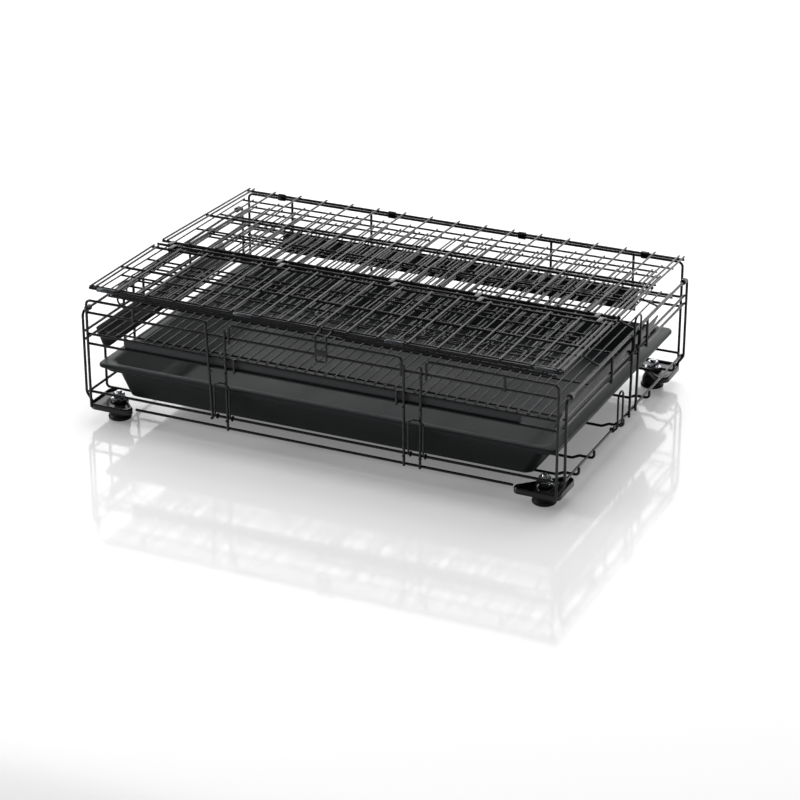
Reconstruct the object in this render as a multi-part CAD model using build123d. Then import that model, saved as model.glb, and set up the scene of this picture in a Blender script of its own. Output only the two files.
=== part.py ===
from build123d import *
import os

# Folding wire pet cage, folded flat for carrying, in millimetres.
# The origin is the bottom centre: X is the long side, -Y the front, Z up.

# Driving dimensions
BAY = 38.1
BAYS = 16
FLOOR_PITCH = 12.7
HALF_L = BAY * BAYS / 2
HALF_D = 209.2
SIDE_X = 313.0
SIDE_Y = 205.0
FRAME_D = 3.3
LINK_D = 2.5
MESH_D = 2.0
TIE_D = 3.0
WELD = 0.3
GAP = 0.3
RUN = 0.07

# Heights of the wire levels of the base, above the floor
TOP_Z = 161.0
SECOND_Z = 143.7
SEAT_Z = 116.0
STRIP_Z = 103.3
LOW_Z = 40.0
TIE_Z = 26.5
SIDE_TOP_Z = 143.0
SIDE_UPPER_Z = 119.0
SIDE_MID_Z = 108.5
SIDE_LOW_Z = 38.5
CORNER_R = 9.0

# Feet and corner plates
FOOT_X = 280.5
FOOT_Y = 183.0
PLATE_BOTTOM = 17.0
PLATE_TOP = 25.0
PLATE_LEG = 67.0
BOLT_R = 4.0

# Waste tray
TRAY_BOTTOM_Z = 32.5
TRAY_RIM_Z = 75.0
TRAY_WALL = 2.0
TRAY_BASE = (534.0, 372.0, 18.0)
TRAY_MOUTH = (572.0, 380.0, 13.0)
TRAY_STEP = (586.0, 390.0, 11.0)
TRAY_RIM = (600.0, 400.0, 9.0)
TRAY_SKIRT = 7.0
TRAY_STEP_DROP = 14.0

# Splash guards round the waste tray
GUARD_TOP = (303.0, 204.0)
GUARD_FOOT = (292.0, 194.0)
GUARD_FOOT_Z = 92.0
GUARD_TOP_SIDE_Z = 120.0
GUARD_TOP_BACK_Z = 116.3
GUARD_WALL = 1.5
GUARD_FRONT_Y = -192.0
GUARD_BACK_Y = 128.0
GUARD_HALF_X = 250.0

# Back wall, folded forward over the stack in two leaves
LEAF_Z = TOP_Z + FRAME_D + GAP
FOLD_Y = -32.3
FOLD_Z = 172.0
LEAF_END_Y = -197.4
FOLD_GAP = 12.7

# Folded walls lying under the back wall
ROOF_X = 299.0
STACK_X = 289.0
STACK_BACK_Y = 185.0
STACK_FRONT_Y = -190.0
STACK_STEP = 4.35
STACK_SLOPE = 0.0171

CORNERS = {
    "front_left": (-1, -1),
    "front_right": (1, -1),
    "back_left": (-1, 1),
    "back_right": (1, 1),
}
SIDES = {"left": -1, "right": 1}

FRAME_R = FRAME_D / 2
LINK_R = LINK_D / 2
MESH_R = MESH_D / 2
OUTER = HALF_D
INNER = HALF_D - FRAME_D + WELD
SIDE_INNER = SIDE_X - FRAME_D + WELD


def rod(start, end, diameter):
    """Straight round wire between two points."""
    start = Vector(*start)
    end = Vector(*end)
    along = end - start
    return Solid.make_cylinder(diameter / 2, along.length, Plane(start, z_dir=along))


def bent(points, diameter, bend):
    """Round wire bent along a line of points."""
    path = FilletPolyline(*points, radius=bend)
    section = Plane(path @ 0, z_dir=path % 0) * Circle(diameter / 2)
    return sweep(section, path=path).solids()[0]


def hoop(points, diameter, bend):
    """Closed round wire with rounded corners, as two bent halves."""
    corners = [Vector(*p) for p in points]
    near = (corners[0] + corners[1]) * 0.5
    far = (corners[2] + corners[3]) * 0.5
    first = bent([tuple(near), tuple(corners[1]), tuple(corners[2]), tuple(far)], diameter, bend)
    second = bent([tuple(far), tuple(corners[3]), tuple(corners[0]), tuple(near)], diameter, bend)
    return [first, second]


def weld(pieces):
    """One solid of wires that are welded where they cross."""
    pieces = list(pieces)
    joined = pieces[0].fuse(*pieces[1:])
    return joined


def ring(centre, axis, bore, outer, width):
    """Eye of a wire end, or a sleeve, round another wire."""
    centre = Vector(*centre)
    axis = Vector(*axis)
    plane = Plane(centre - axis * (width / 2), z_dir=axis)
    return Solid.make_cylinder(outer, width, plane) - Solid.make_cylinder(bore, width, plane)


os.makedirs("parts", exist_ok=True)


def save(shape, name):
    """Write one piece of the cage."""
    if isinstance(shape, (list, tuple)):
        solids = [s for item in shape for s in item.solids()]
        shape = Compound(children=solids)
    export_step(shape, "parts/" + name + ".step")


def slope_z(y):
    """Height of the back wall's cross wires, folded."""
    if y < FOLD_Y:
        return FOLD_Z
    return LEAF_Z + (HALF_D - y) * (FOLD_Z - LEAF_Z) / (HALF_D - FOLD_Y)


def stack_z(y, level):
    """Height of a folded panel's long wires, level 0 on top."""
    top = slope_z(STACK_BACK_Y) - FRAME_R - 0.6 - MESH_R
    return top + (STACK_BACK_Y - y) * STACK_SLOPE - level * STACK_STEP


# Base frame: corners, rails and posts


def corner_post(sx, sy):
    """Two bent corner wires, one of the long side and one of the short side."""
    run = CORNER_R + 4
    x = sx * HALF_L
    y = sy * OUTER
    long_side = bent([(x, y, 20), (x, y, TOP_Z), (x - sx * run, y, TOP_Z)], FRAME_D, CORNER_R)
    x = sx * SIDE_X
    y = sy * SIDE_Y
    foot_x = sx * (HALF_L + 0.5)
    short_side = bent(
        [(foot_x, y, 20), (foot_x, y, 26.5), (x, y, 37), (x, y, SIDE_TOP_Z), (x, y - sy * run, SIDE_TOP_Z)],
        FRAME_D, [2.5, 4, CORNER_R])
    return [long_side, short_side]


for name, (sx, sy) in CORNERS.items():
    save(corner_post(sx, sy), name + "_corner_post")


RAIL_END = HALF_L + 1.4
FRONT_JOINS = (-142.0, -111.0, 112.0, 143.0)
SHORT_TIE_X = 240.0


def top_stub(x_from, x_to, turn_from, turn_to, y):
    """Top wire, with either end turned down past the second wire."""
    points = []
    if turn_from:
        points.append((x_from, y, SECOND_Z - 6))
    points.append((x_from, y, TOP_Z))
    points.append((x_to, y, TOP_Z))
    if turn_to:
        points.append((x_to, y, SECOND_Z - 6))
    return bent(points, FRAME_D, 5)


def long_rail(z, y, half=RAIL_END):
    """Straight wire along a long side."""
    return rod((-half, y, z), (half, y, z), FRAME_D)


def front_upper_rails():
    """Upper wires of the front, welded into one flat grille."""
    start = HALF_L - CORNER_R - 4
    left, mid_left, mid_right, right = FRONT_JOINS
    parts = [
        rod((-start, -OUTER, TOP_Z), (left - 6, -OUTER, TOP_Z), FRAME_D),
        top_stub(mid_left, mid_right, True, True, -OUTER),
        top_stub(right, start, True, False, -OUTER),
        long_rail(SECOND_Z, -INNER),
        long_rail(SEAT_Z, -INNER),
        long_rail(STRIP_Z, -INNER),
    ]
    for x in (-SHORT_TIE_X, SHORT_TIE_X):
        parts.append(rod((x, -OUTER, SECOND_Z - 2), (x, -OUTER, TOP_Z), TIE_D))
    for x in (mid_left + 6, mid_right - 6):
        parts.append(rod((x, -OUTER, STRIP_Z - 3), (x, -OUTER, SEAT_Z + 3), FRAME_D))
    return weld(parts)


save(front_upper_rails(), "front_upper_rails")


TIE_ENDS = (-244.0, 251.0)


def front_low_rails():
    """Low wire and tie wire of the front."""
    low = long_rail(LOW_Z, -INNER)
    tie = rod((TIE_ENDS[0], -INNER, TIE_Z), (TIE_ENDS[1], -INNER, TIE_Z), FRAME_D)
    return [low, tie]


save(front_low_rails(), "front_low_rails")


def front_posts(points_sets):
    """Pair of long posts across the front wires."""
    return [bent(points, FRAME_D, 5) if len(points) > 2 else rod(*points, FRAME_D) for points in points_sets]


LEFT_POSTS = (
    ((-148, -OUTER, TOP_Z), (-142, -OUTER, TOP_Z), (-135.5, -OUTER, 37)),
    ((-117, -OUTER, 155), (-115.4, -OUTER, 24.5)),
)
RIGHT_POSTS = (
    ((115, -OUTER, 152), (115.4, -OUTER, 24.5)),
    ((136.7, -OUTER, 154), (135.8, -OUTER, 24.5)),
)
save(front_posts(LEFT_POSTS), "front_left_posts")
save(front_posts(RIGHT_POSTS), "front_right_posts")


STRIP_HALF = 256.0
STRIP_WALL = 1.2
STRIP_HIGH = 11.5
STRIP_FOLD = 5.0


def front_strip():
    """Flat steel strip behind the seat wires of the front."""
    y = -INNER + FRAME_R - 0.1
    middle = (SEAT_Z + STRIP_Z) / 2
    plate = Pos(0, y + STRIP_WALL / 2, middle) * Box(2 * STRIP_HALF, STRIP_WALL, STRIP_HIGH)
    ends = []
    for x in (-STRIP_HALF, STRIP_HALF):
        ends.append(Pos(x, y + STRIP_WALL / 2 + 2, middle) * Box(STRIP_WALL, STRIP_FOLD, STRIP_HIGH))
    return weld([s for item in [plate] + ends for s in item.solids()])


save(front_strip(), "front_strip")


BACK_TIES = (-SHORT_TIE_X, -124.0, 129.0, SHORT_TIE_X)


def back_upper_rails():
    """Upper wires of the back, with its top wire as the hinge pin."""
    start = HALF_L - CORNER_R - 4
    parts = [
        rod((-start, OUTER, TOP_Z), (start, OUTER, TOP_Z), FRAME_D),
        long_rail(SEAT_Z, INNER),
        long_rail(STRIP_Z, INNER),
    ]
    for x in BACK_TIES:
        parts.append(rod((x, OUTER, STRIP_Z - 4), (x, OUTER, TOP_Z), TIE_D))
    return weld(parts)


save(back_upper_rails(), "back_upper_rails")
save([long_rail(LOW_Z, INNER)], "back_low_rail")


def back_post(x):
    """Lower post of the back, from the seat wires to the low wire."""
    return rod((x, OUTER, LOW_Z - 3), (x, OUTER, STRIP_Z - 4), FRAME_D)


save([back_post(BACK_TIES[1])], "back_left_post")
save([back_post(BACK_TIES[2])], "back_right_post")


def side_upper_rails(sx):
    """Upper wires of a short side, welded to its middle ties."""
    start = SIDE_Y - CORNER_R - 4
    half = SIDE_Y + 1.4
    x = sx * SIDE_INNER
    parts = [rod((sx * SIDE_X, -start, SIDE_TOP_Z), (sx * SIDE_X, start, SIDE_TOP_Z), FRAME_D)]
    for z in (SIDE_UPPER_Z, SIDE_MID_Z):
        parts.append(rod((x, -half, z), (x, half, z), FRAME_D))
    for y in (-60.0, 60.0):
        parts.append(rod((sx * SIDE_X, y, SIDE_MID_Z - 3), (sx * SIDE_X, y, SIDE_TOP_Z), TIE_D))
    return weld(parts)


def side_low_rail(sx):
    """Low wire of a short side."""
    x = sx * SIDE_INNER
    half = SIDE_Y + 1.4
    return rod((x, -half, SIDE_LOW_Z), (x, half, SIDE_LOW_Z), FRAME_D)


def side_post(sx, y, top):
    """Long post across the wires of a short side."""
    return rod((sx * SIDE_X, y, SIDE_LOW_Z - 4), (sx * SIDE_X, y + 4, top), FRAME_D)


SIDE_POSTS = {"left": (-112.0, -88.0), "right": (6.0, 28.0)}
for name, sx in SIDES.items():
    save(side_upper_rails(sx), name + "_upper_rails")
    save([side_low_rail(sx)], name + "_low_rail")
    save([side_post(sx, y, SIDE_TOP_Z - 4) for y in SIDE_POSTS[name]], name + "_posts")


CLIP_Y = SIDE_Y - CORNER_R - 4
CLIP_R = 3.6
CLIP_LENGTH = 7.0


def corner_clip(sx, sy):
    """Sleeve over the joint of a corner wire and the side's top wire."""
    return ring((sx * SIDE_X, sy * CLIP_Y, SIDE_TOP_Z), (0, 1, 0), FRAME_R, CLIP_R, CLIP_LENGTH)


save([corner_clip(sx, sy) for sx, sy in CORNERS.values()], "corner_clips")


# Tray rails under the waste tray

TRAY_RAIL_Y = (-168.0, -119.0, -22.0, 69.0, 160.0)


RAIL_Z = TRAY_BOTTOM_Z - FRAME_R
RAIL_RUN = 282.0
RAIL_UNDER_Z = SIDE_LOW_Z - FRAME_D
RAIL_OUT_X = 316.0
RAIL_HOOK_Z = 45.0
RISER_X = SIDE_INNER - FRAME_D
RISER_Z = SIDE_MID_Z + 4


def rail_hook(sx, y):
    """Rail end that passes under the low side wire and turns up outside it."""
    points = [(sx * RAIL_RUN, y, RAIL_Z), (sx * (RAIL_RUN + 7), y, RAIL_Z), (sx * (RAIL_RUN + 16), y, RAIL_UNDER_Z),
              (sx * RAIL_OUT_X, y, RAIL_UNDER_Z), (sx * RAIL_OUT_X, y, RAIL_HOOK_Z)]
    return bent(points, FRAME_D, [5, 5, 3.4])


def rail_riser(sx, y):
    """Rail end that turns up inside the side wires, to the middle one."""
    points = [(sx * RAIL_RUN, y, RAIL_Z), (sx * RISER_X, y, RAIL_Z), (sx * RISER_X, y, RISER_Z)]
    return bent(points, FRAME_D, 6)


def tray_rail(y, riser):
    """Cross wire that carries the tray, in three lengths, hooked on the side wires."""
    left_end = rail_riser(-1, y) if riser else rail_hook(-1, y)
    return [rod((-RAIL_RUN, y, RAIL_Z), (RAIL_RUN, y, RAIL_Z), FRAME_D), left_end, rail_hook(1, y)]


for number, y in enumerate(TRAY_RAIL_Y, 1):
    save(tray_rail(y, number == 1), "tray_rail_" + str(number))


# Feet, corner plates and their fasteners

def foot_profile(points):
    """Turned solid about Z from half-section points."""
    outline = Polyline(*[(r, 0, z) for r, z in points], close=True)
    face = make_face(outline)
    return revolve(face, Axis.Z)


def at_feet(solid):
    """The same solid at each of the four feet."""
    return [(Pos(sx * FOOT_X, sy * FOOT_Y, 0) * solid).solids()[0] for sx, sy in CORNERS.values()]


def corner_plate(sx, sy):
    """Moulded triangular plate of a corner, with a raised rim."""
    x = sx * (HALF_L + 4)
    y = sy * (HALF_D + 0.8)
    leg = PLATE_LEG
    corners = [(x, y), (x - sx * leg, y), (x, y - sy * leg)]
    face = make_face(Polyline(*corners, close=True))
    face = fillet(face.vertices(), 9)
    solid = extrude(face, amount=PLATE_TOP - PLATE_BOTTOM)
    solid = Pos(0, 0, PLATE_BOTTOM) * solid
    inner = offset(face, amount=-2.4)
    recess = Pos(0, 0, PLATE_TOP - 2.5) * extrude(inner, amount=4)
    boss = Pos(sx * FOOT_X, sy * FOOT_Y, PLATE_BOTTOM) * Cylinder(11.5, PLATE_TOP - PLATE_BOTTOM,
                                                                 align=(Align.CENTER, Align.CENTER, Align.MIN))
    solid = (solid - recess) + boss
    hole = Pos(sx * FOOT_X, sy * FOOT_Y, 0) * Cylinder(BOLT_R, 80)
    return (solid - hole).solids()[0]


FOOT_POINTS = [(0, 0), (13.2, 0), (14.5, 1.2), (14.5, 4.0), (12.6, 6.2), (11.6, 13.5), (10.5, PLATE_BOTTOM),
               (BOLT_R, PLATE_BOTTOM), (BOLT_R, 7), (0, 7)]
feet = at_feet(foot_profile(FOOT_POINTS))
for (name, (sx, sy)), foot in zip(CORNERS.items(), feet):
    save([foot], name + "_foot")
    save([corner_plate(sx, sy)], name + "_corner_plate")


def flange_nut():
    """Hexagon nut with a round flange."""
    flange = foot_profile([(BOLT_R, PLATE_TOP), (10, PLATE_TOP), (10, PLATE_TOP + 1.2), (8, PLATE_TOP + 2.2),
                           (BOLT_R, PLATE_TOP + 2.2)])
    body = extrude(RegularPolygon(7.2, 6), amount=7) - Cylinder(BOLT_R, 40)
    return flange + Pos(0, 0, PLATE_TOP + 1.9) * body


save(at_feet(flange_nut()), "foot_nuts")
BOLT_TOP = PLATE_TOP + 11
bolt = foot_profile([(0, 7), (BOLT_R, 7), (BOLT_R, BOLT_TOP - 1), (BOLT_R - 1, BOLT_TOP), (0, BOLT_TOP)])
save(at_feet(bolt), "foot_bolts")


# Waste tray

def slab_face(size, z, inset=0.0):
    """Rounded rectangle at a height."""
    length, depth, radius = size
    shape = RectangleRounded(length - 2 * inset, depth - 2 * inset, radius - inset)
    return Pos(0, 0, z) * shape


def waste_tray():
    """Tapered moulded tray with a double lip."""
    outer = loft([slab_face(TRAY_BASE, TRAY_BOTTOM_Z), slab_face(TRAY_MOUTH, TRAY_RIM_Z)])
    inner = loft([slab_face(TRAY_BASE, TRAY_BOTTOM_Z + TRAY_WALL, TRAY_WALL),
                  slab_face(TRAY_MOUTH, TRAY_RIM_Z + 0.01, TRAY_WALL)])
    rim = extrude(slab_face(TRAY_RIM, TRAY_RIM_Z - TRAY_WALL), amount=TRAY_WALL)
    skirt = extrude(slab_face(TRAY_RIM, TRAY_RIM_Z - TRAY_SKIRT), amount=TRAY_SKIRT - 1)
    skirt = skirt - extrude(slab_face(TRAY_RIM, TRAY_RIM_Z - TRAY_SKIRT - 1, TRAY_WALL), amount=TRAY_SKIRT + 3)
    low = TRAY_RIM_Z - TRAY_STEP_DROP
    step = extrude(slab_face(TRAY_STEP, low), amount=TRAY_STEP_DROP - 1)
    step = step - extrude(slab_face(TRAY_STEP, low - 1, TRAY_WALL), amount=TRAY_STEP_DROP + 3)
    web = extrude(slab_face(TRAY_STEP, low), amount=TRAY_WALL)
    tray = (outer + rim + skirt + step + web) - inner
    return tray.solids()


save(waste_tray(), "waste_tray")


# Splash guards

def guard_section(foot, top, top_z):
    """Slanted strip with a small lip at its lower edge, across and up."""
    wall = GUARD_WALL
    return [(foot, GUARD_FOOT_Z), (foot + wall, GUARD_FOOT_Z), (foot + wall, GUARD_FOOT_Z + 3), (top, top_z - 2),
            (top, top_z), (top - wall, top_z), (foot, GUARD_FOOT_Z + 3.6)]


def side_guard(sx):
    """Guard along a short side."""
    section = [(sx * u, GUARD_FRONT_Y, v) for u, v in guard_section(GUARD_FOOT[0], GUARD_TOP[0], GUARD_TOP_SIDE_Z)]
    face = make_face(Polyline(*section, close=True))
    return extrude(face, amount=GUARD_BACK_Y - GUARD_FRONT_Y, dir=(0, 1, 0)).solids()[0]


def back_guard():
    """Guard along the back."""
    section = [(-GUARD_HALF_X, u, v) for u, v in guard_section(GUARD_FOOT[1], GUARD_TOP[1], GUARD_TOP_BACK_Z)]
    face = make_face(Polyline(*section, close=True))
    return extrude(face, amount=2 * GUARD_HALF_X, dir=(1, 0, 0)).solids()[0]


for name, sx in SIDES.items():
    save([side_guard(sx)], name + "_guard")
save([back_guard()], "back_guard")


# Floor grid

FLOOR_Z = SEAT_Z + FRAME_R + MESH_R + GAP
FLOOR_END_Y = 207.0
FLOOR_HALF_X = 298.0
FLOOR_CROSS = (-196.0, -98.0, 0.0, 98.0, 196.0)


def floor_grid():
    """Wire floor: close thin wires over five cross wires."""
    parts = []
    half_count = int(FLOOR_HALF_X // FLOOR_PITCH)
    for step in range(-half_count, half_count + 1):
        x = step * FLOOR_PITCH
        parts.append(rod((x, -FLOOR_END_Y, FLOOR_Z), (x, FLOOR_END_Y, FLOOR_Z), MESH_D))
    z = FLOOR_Z - MESH_R - LINK_R + WELD
    for y in FLOOR_CROSS:
        parts.append(rod((-FLOOR_HALF_X, y, z), (FLOOR_HALF_X, y, z), LINK_D))
    return weld(parts)


save(floor_grid(), "floor_grid")


# Folded walls between the floor and the back wall

def stack_panel(level, x_low, x_high, y_low, y_high, pitch, cross_ys, opening=None):
    """Folded wall: long wires over cross wires, with an optional door opening."""
    parts = []
    drop = MESH_R + LINK_R - WELD
    count = int((x_high - x_low - 6) // pitch)
    first = (x_low + x_high) / 2 - count * pitch / 2
    edges = [x_low, x_high] + [first + n * pitch for n in range(count + 1)]
    if opening:
        edges += [opening[0], opening[1]]
    for x in sorted(set(edges)):
        spans = [(y_low - 2, y_high + 2)]
        if opening and opening[0] < x < opening[1]:
            spans = [(y_low - 2, opening[2] + 2), (opening[3] - 2, y_high + 2)]
        for low, high in spans:
            parts.append(rod((x, low, stack_z(low, level)), (x, high, stack_z(high, level)), MESH_D))
    cross = sorted(set(list(cross_ys) + [y_low, y_high] + (list(opening[2:4]) if opening else [])))
    for y in cross:
        z = stack_z(y, level) - drop
        spans = [(x_low - 2, x_high + 2)]
        if opening and opening[2] < y < opening[3]:
            spans = [(x_low - 2, opening[0] + 2), (opening[1] - 2, x_high + 2)]
        for low, high in spans:
            parts.append(rod((low, y, z), (high, y, z), LINK_D))
    return weld(parts)


def door_panel(level, x_low, x_high, y_low, y_high, pitch, cross_ys):
    """Door inside a wall's opening: a rounded frame with its own mesh."""
    drop = MESH_R + LINK_R - WELD
    corners = [(x_low, y_low), (x_high, y_low), (x_high, y_high), (x_low, y_high)]
    parts = hoop([(x, y, stack_z(y, level) - drop) for x, y in corners], LINK_D, 14)
    count = int((x_high - x_low - 10) // pitch)
    first = (x_low + x_high) / 2 - count * pitch / 2
    for n in range(count + 1):
        x = first + n * pitch
        parts.append(rod((x, y_low, stack_z(y_low, level)), (x, y_high, stack_z(y_high, level)), MESH_D))
    for y in cross_ys:
        z = stack_z(y, level) - drop
        parts.append(rod((x_low, y, z), (x_high, y, z), LINK_D))
    return weld(parts)


ROOF_CROSS = (121.0, 58.0, -5.0, -68.0, -131.0)
save(stack_panel(0, -ROOF_X, ROOF_X, STACK_FRONT_Y, STACK_BACK_Y, BAY, ROOF_CROSS), "roof_panel")
FRONT_OPENING = (-40.0, 190.0, -150.0, 60.0)
FRONT_CROSS = (130.0, -5.0, -85.0)
save(stack_panel(1, -281.0, 281.0, -186.0, 176.0, BAY / 2, FRONT_CROSS, FRONT_OPENING), "front_wall")
DOOR_GAP = 5.0
save(door_panel(1, FRONT_OPENING[0] + DOOR_GAP, FRONT_OPENING[1] - DOOR_GAP, FRONT_OPENING[2] + DOOR_GAP,
                FRONT_OPENING[3] - DOOR_GAP, BAY / 2, (-100.0, -45.0, 10.0)), "front_door")
WALL_REACH = 24.0
SIDE_CROSS = (120.0, 60.0, 0.0, -60.0, -120.0)
save(stack_panel(2, -STACK_X, -WALL_REACH, -180.0, 170.0, 2 * FLOOR_PITCH, SIDE_CROSS), "left_wall")
RIGHT_OPENING = (90.0, 250.0, -130.0, 90.0)
save(stack_panel(2, WALL_REACH, STACK_X, -180.0, 170.0, 2 * FLOOR_PITCH, (130.0, 0.0, -60.0), RIGHT_OPENING),
     "right_wall")
save(door_panel(2, RIGHT_OPENING[0] + DOOR_GAP, RIGHT_OPENING[1] - DOOR_GAP, RIGHT_OPENING[2] + DOOR_GAP,
                RIGHT_OPENING[3] - DOOR_GAP, 2 * FLOOR_PITCH, (-80.0, -25.0, 35.0)), "side_door")


HANGER_YS = (-105.0, 15.0, 95.0)


def wall_hanger(sx, y):
    """Link that carries a folded side wall from the top side wire."""
    high = stack_z(y, 2) - MESH_R - LINK_R + WELD
    return rod((sx * (STACK_X - 1), y, high), (sx * SIDE_X, y, SIDE_TOP_Z + FRAME_R + LINK_R - WELD), LINK_D)


save([wall_hanger(sx, y) for sx in SIDES.values() for y in HANGER_YS], "side_wall_links")


# Back wall in two leaves

LEAF_SECOND_X = HALF_L - 6.5


def leaf_wires(y_low, y_high):
    """Long wires of a leaf at every bay and at both edges."""
    parts = []
    rise = FRAME_R + LINK_R - WELD
    xs = [-HALF_L, -LEAF_SECOND_X, LEAF_SECOND_X, HALF_L] + [BAY * n for n in range(1 - BAYS // 2, BAYS // 2)]
    for x in xs:
        parts.append(rod((x, y_low, slope_z(y_low) + rise), (x, y_high, slope_z(y_high) + rise), LINK_D))
    return parts


def leaf_cross(y):
    """Cross wire of a leaf."""
    z = slope_z(y)
    return rod((-HALF_L - 2, y, z), (HALF_L + 2, y, z), FRAME_D)


LOWER_EDGE_Y = FOLD_Y + FOLD_GAP
UPPER_EDGE_Y = FOLD_Y - FOLD_GAP
LOWER_CROSS = (HALF_D, 94.7, LOWER_EDGE_Y)
UPPER_CROSS = (UPPER_EDGE_Y, -121.0, LEAF_END_Y + 6.0, LEAF_END_Y)
lower_leaf = weld([leaf_cross(y) for y in LOWER_CROSS] + leaf_wires(LOWER_EDGE_Y - 2, HALF_D + 4.5))
upper_leaf = weld([leaf_cross(y) for y in UPPER_CROSS] + leaf_wires(LEAF_END_Y - 1.5, UPPER_EDGE_Y + 2))
save(lower_leaf, "back_wall_lower")
save(upper_leaf, "back_wall_upper")
save([leaf_cross(FOLD_Y)], "fold_pin")

HINGE_XS = (-255.0, -94.0, 89.0, 255.0)


def hinge_clip(x):
    """Pressed clip: fixed on the leaf's edge wire, turning on the top back wire."""
    plane = Plane((x - 5, HALF_D, TOP_Z), x_dir=(0, 1, 0), z_dir=(1, 0, 0))
    low = Solid.make_cylinder(FRAME_R + 1.4, 10, plane)
    bore = Solid.make_cylinder(FRAME_R + RUN, 10, plane)
    plane = Plane((x - 5, HALF_D, LEAF_Z), x_dir=(0, 1, 0), z_dir=(1, 0, 0))
    high = Solid.make_cylinder(FRAME_R + 1.4, 10, plane)
    pin = Solid.make_cylinder(FRAME_R, 10, plane)
    return ((Part() + low + high) - bore - pin).solids()[0]


save([hinge_clip(x) for x in HINGE_XS], "hinge_clips")

FOLD_CLIP_XS = (-285.0, -133.0, 20.0, 133.0, 285.0)


def fold_clip(x, edge_y, free):
    """Pressed link between an edge wire and the fold pin."""
    width = 6.0
    z = slope_z(edge_y)
    slab = Pos(x, (edge_y + FOLD_Y) / 2, (z + FOLD_Z) / 2) * Box(width, FOLD_GAP, 1.6)
    bore = FRAME_R + (RUN if free else 0)
    start = x - width / 2
    turn = {"x_dir": (0, 1, 0), "z_dir": (1, 0, 0)}
    shape = Part() + slab + Solid.make_cylinder(FRAME_R + 1.3, width, Plane((start, FOLD_Y, FOLD_Z), **turn))
    shape += Solid.make_cylinder(FRAME_R + 1.3, width, Plane((start, edge_y, z), **turn))
    shape -= Solid.make_cylinder(bore, width, Plane((start, FOLD_Y, FOLD_Z), **turn))
    shape -= Solid.make_cylinder(FRAME_R, width, Plane((start, edge_y, z), **turn))
    return shape.solids()[0]


save([fold_clip(x - 4, LOWER_EDGE_Y, False) for x in FOLD_CLIP_XS], "lower_fold_clips")
save([fold_clip(x + 4, UPPER_EDGE_Y, True) for x in FOLD_CLIP_XS], "upper_fold_clips")

SLEEVES = ((-295.0, -271.0), (-110.0, -86.0), (86.0, 110.0), (271.0, 295.0))


def edge_sleeve(x_low, x_high):
    """Clear plastic sleeve pushed over the front edge wire."""
    bore = FRAME_R
    axis_y = LEAF_END_Y
    return ring(((x_low + x_high) / 2, axis_y, FOLD_Z), (1, 0, 0), bore, bore + 0.75, x_high - x_low)


save([edge_sleeve(*span) for span in SLEEVES], "edge_sleeves")


# Latches that swing

EYE_WIDTH = 3.2


def eye(centre, axis):
    """Wire eye that turns on a frame wire."""
    return ring(centre, axis, FRAME_R + RUN, FRAME_R + 1.5, EYE_WIDTH)


def front_latch():
    """Wire latch that hangs from the back wall's front edge over the front wires."""
    y = -OUTER - 4.4
    left, right = 5.0, 19.0
    out = LEAF_END_Y - FRAME_R - 1.2
    points = [(left, out, FOLD_Z), (left, y, FOLD_Z - 2), (left, y, SECOND_Z - 5),
              (right, y, SECOND_Z - 5), (right, y, FOLD_Z - 2), (right, out, FOLD_Z)]
    wire = bent(points, LINK_D, [2.8, 4, 4, 2.8])
    pieces = [wire]
    for x in (left, right):
        pieces.append(eye((x, LEAF_END_Y, FOLD_Z), (1, 0, 0)))
    tab = Pos((left + right) / 2, y, SECOND_Z + 6) * Box(right - left, 1.6, 8)
    return weld([s for piece in pieces + [tab] for s in piece.solids()])


save(front_latch(), "front_latch")


def front_catch(x_low, x_high):
    """Arched catch that turns on the low front wire, in front of the tray."""
    y = -OUTER - FRAME_R - LINK_R - 0.6
    out = -INNER - FRAME_R - 1.1
    points = [(x_low, out, LOW_Z), (x_low, y, LOW_Z + 4), (x_low, y, 87.0),
              (x_high, y, 87.0), (x_high, y, LOW_Z + 4), (x_high, out, LOW_Z)]
    pieces = [bent(points, LINK_D, [2.0, 8.5, 8.5, 2.0])]
    for x in (x_low, x_high):
        pieces.append(eye((x, -INNER, LOW_Z), (1, 0, 0)))
    return weld([s for piece in pieces for s in piece.solids()])


save(front_catch(-130.5, -110.5), "front_left_catch")
save(front_catch(122.5, 141.5), "front_right_catch")


def side_catch(sx, y_low, y_high, pin_z, top_z):
    """Arched catch that turns on a wire of a short side."""
    x = SIDE_X + FRAME_R + LINK_R + 0.6
    out = SIDE_INNER + FRAME_R + 1.1
    points = [(sx * out, y_low, pin_z), (sx * x, y_low, pin_z + 4), (sx * x, y_low, top_z),
              (sx * x, y_high, top_z), (sx * x, y_high, pin_z + 4), (sx * out, y_high, pin_z)]
    pieces = [bent(points, LINK_D, [2.0, 8, 8, 2.0])]
    for y in (y_low, y_high):
        pieces.append(eye((sx * SIDE_INNER, y, pin_z), (0, 1, 0)))
    return weld([s for piece in pieces for s in piece.solids()])


save(side_catch(1, -44.0, -27.5, SIDE_LOW_Z, 86.0), "right_tray_catch")
save(side_catch(1, 5.0, 26.0, SIDE_UPPER_Z, 164.0), "right_wall_hook")
save(side_catch(-1, -117.5, -95.0, SIDE_UPPER_Z, 143.0), "left_wall_hook")
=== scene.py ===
"""Folding wire pet cage, folded flat: shown meshes, finishes, stage and lights."""
from dataclasses import dataclass, field
from enum import Enum
import logging
import math

import bmesh
import bpy
from mathutils import Matrix, Vector


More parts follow.
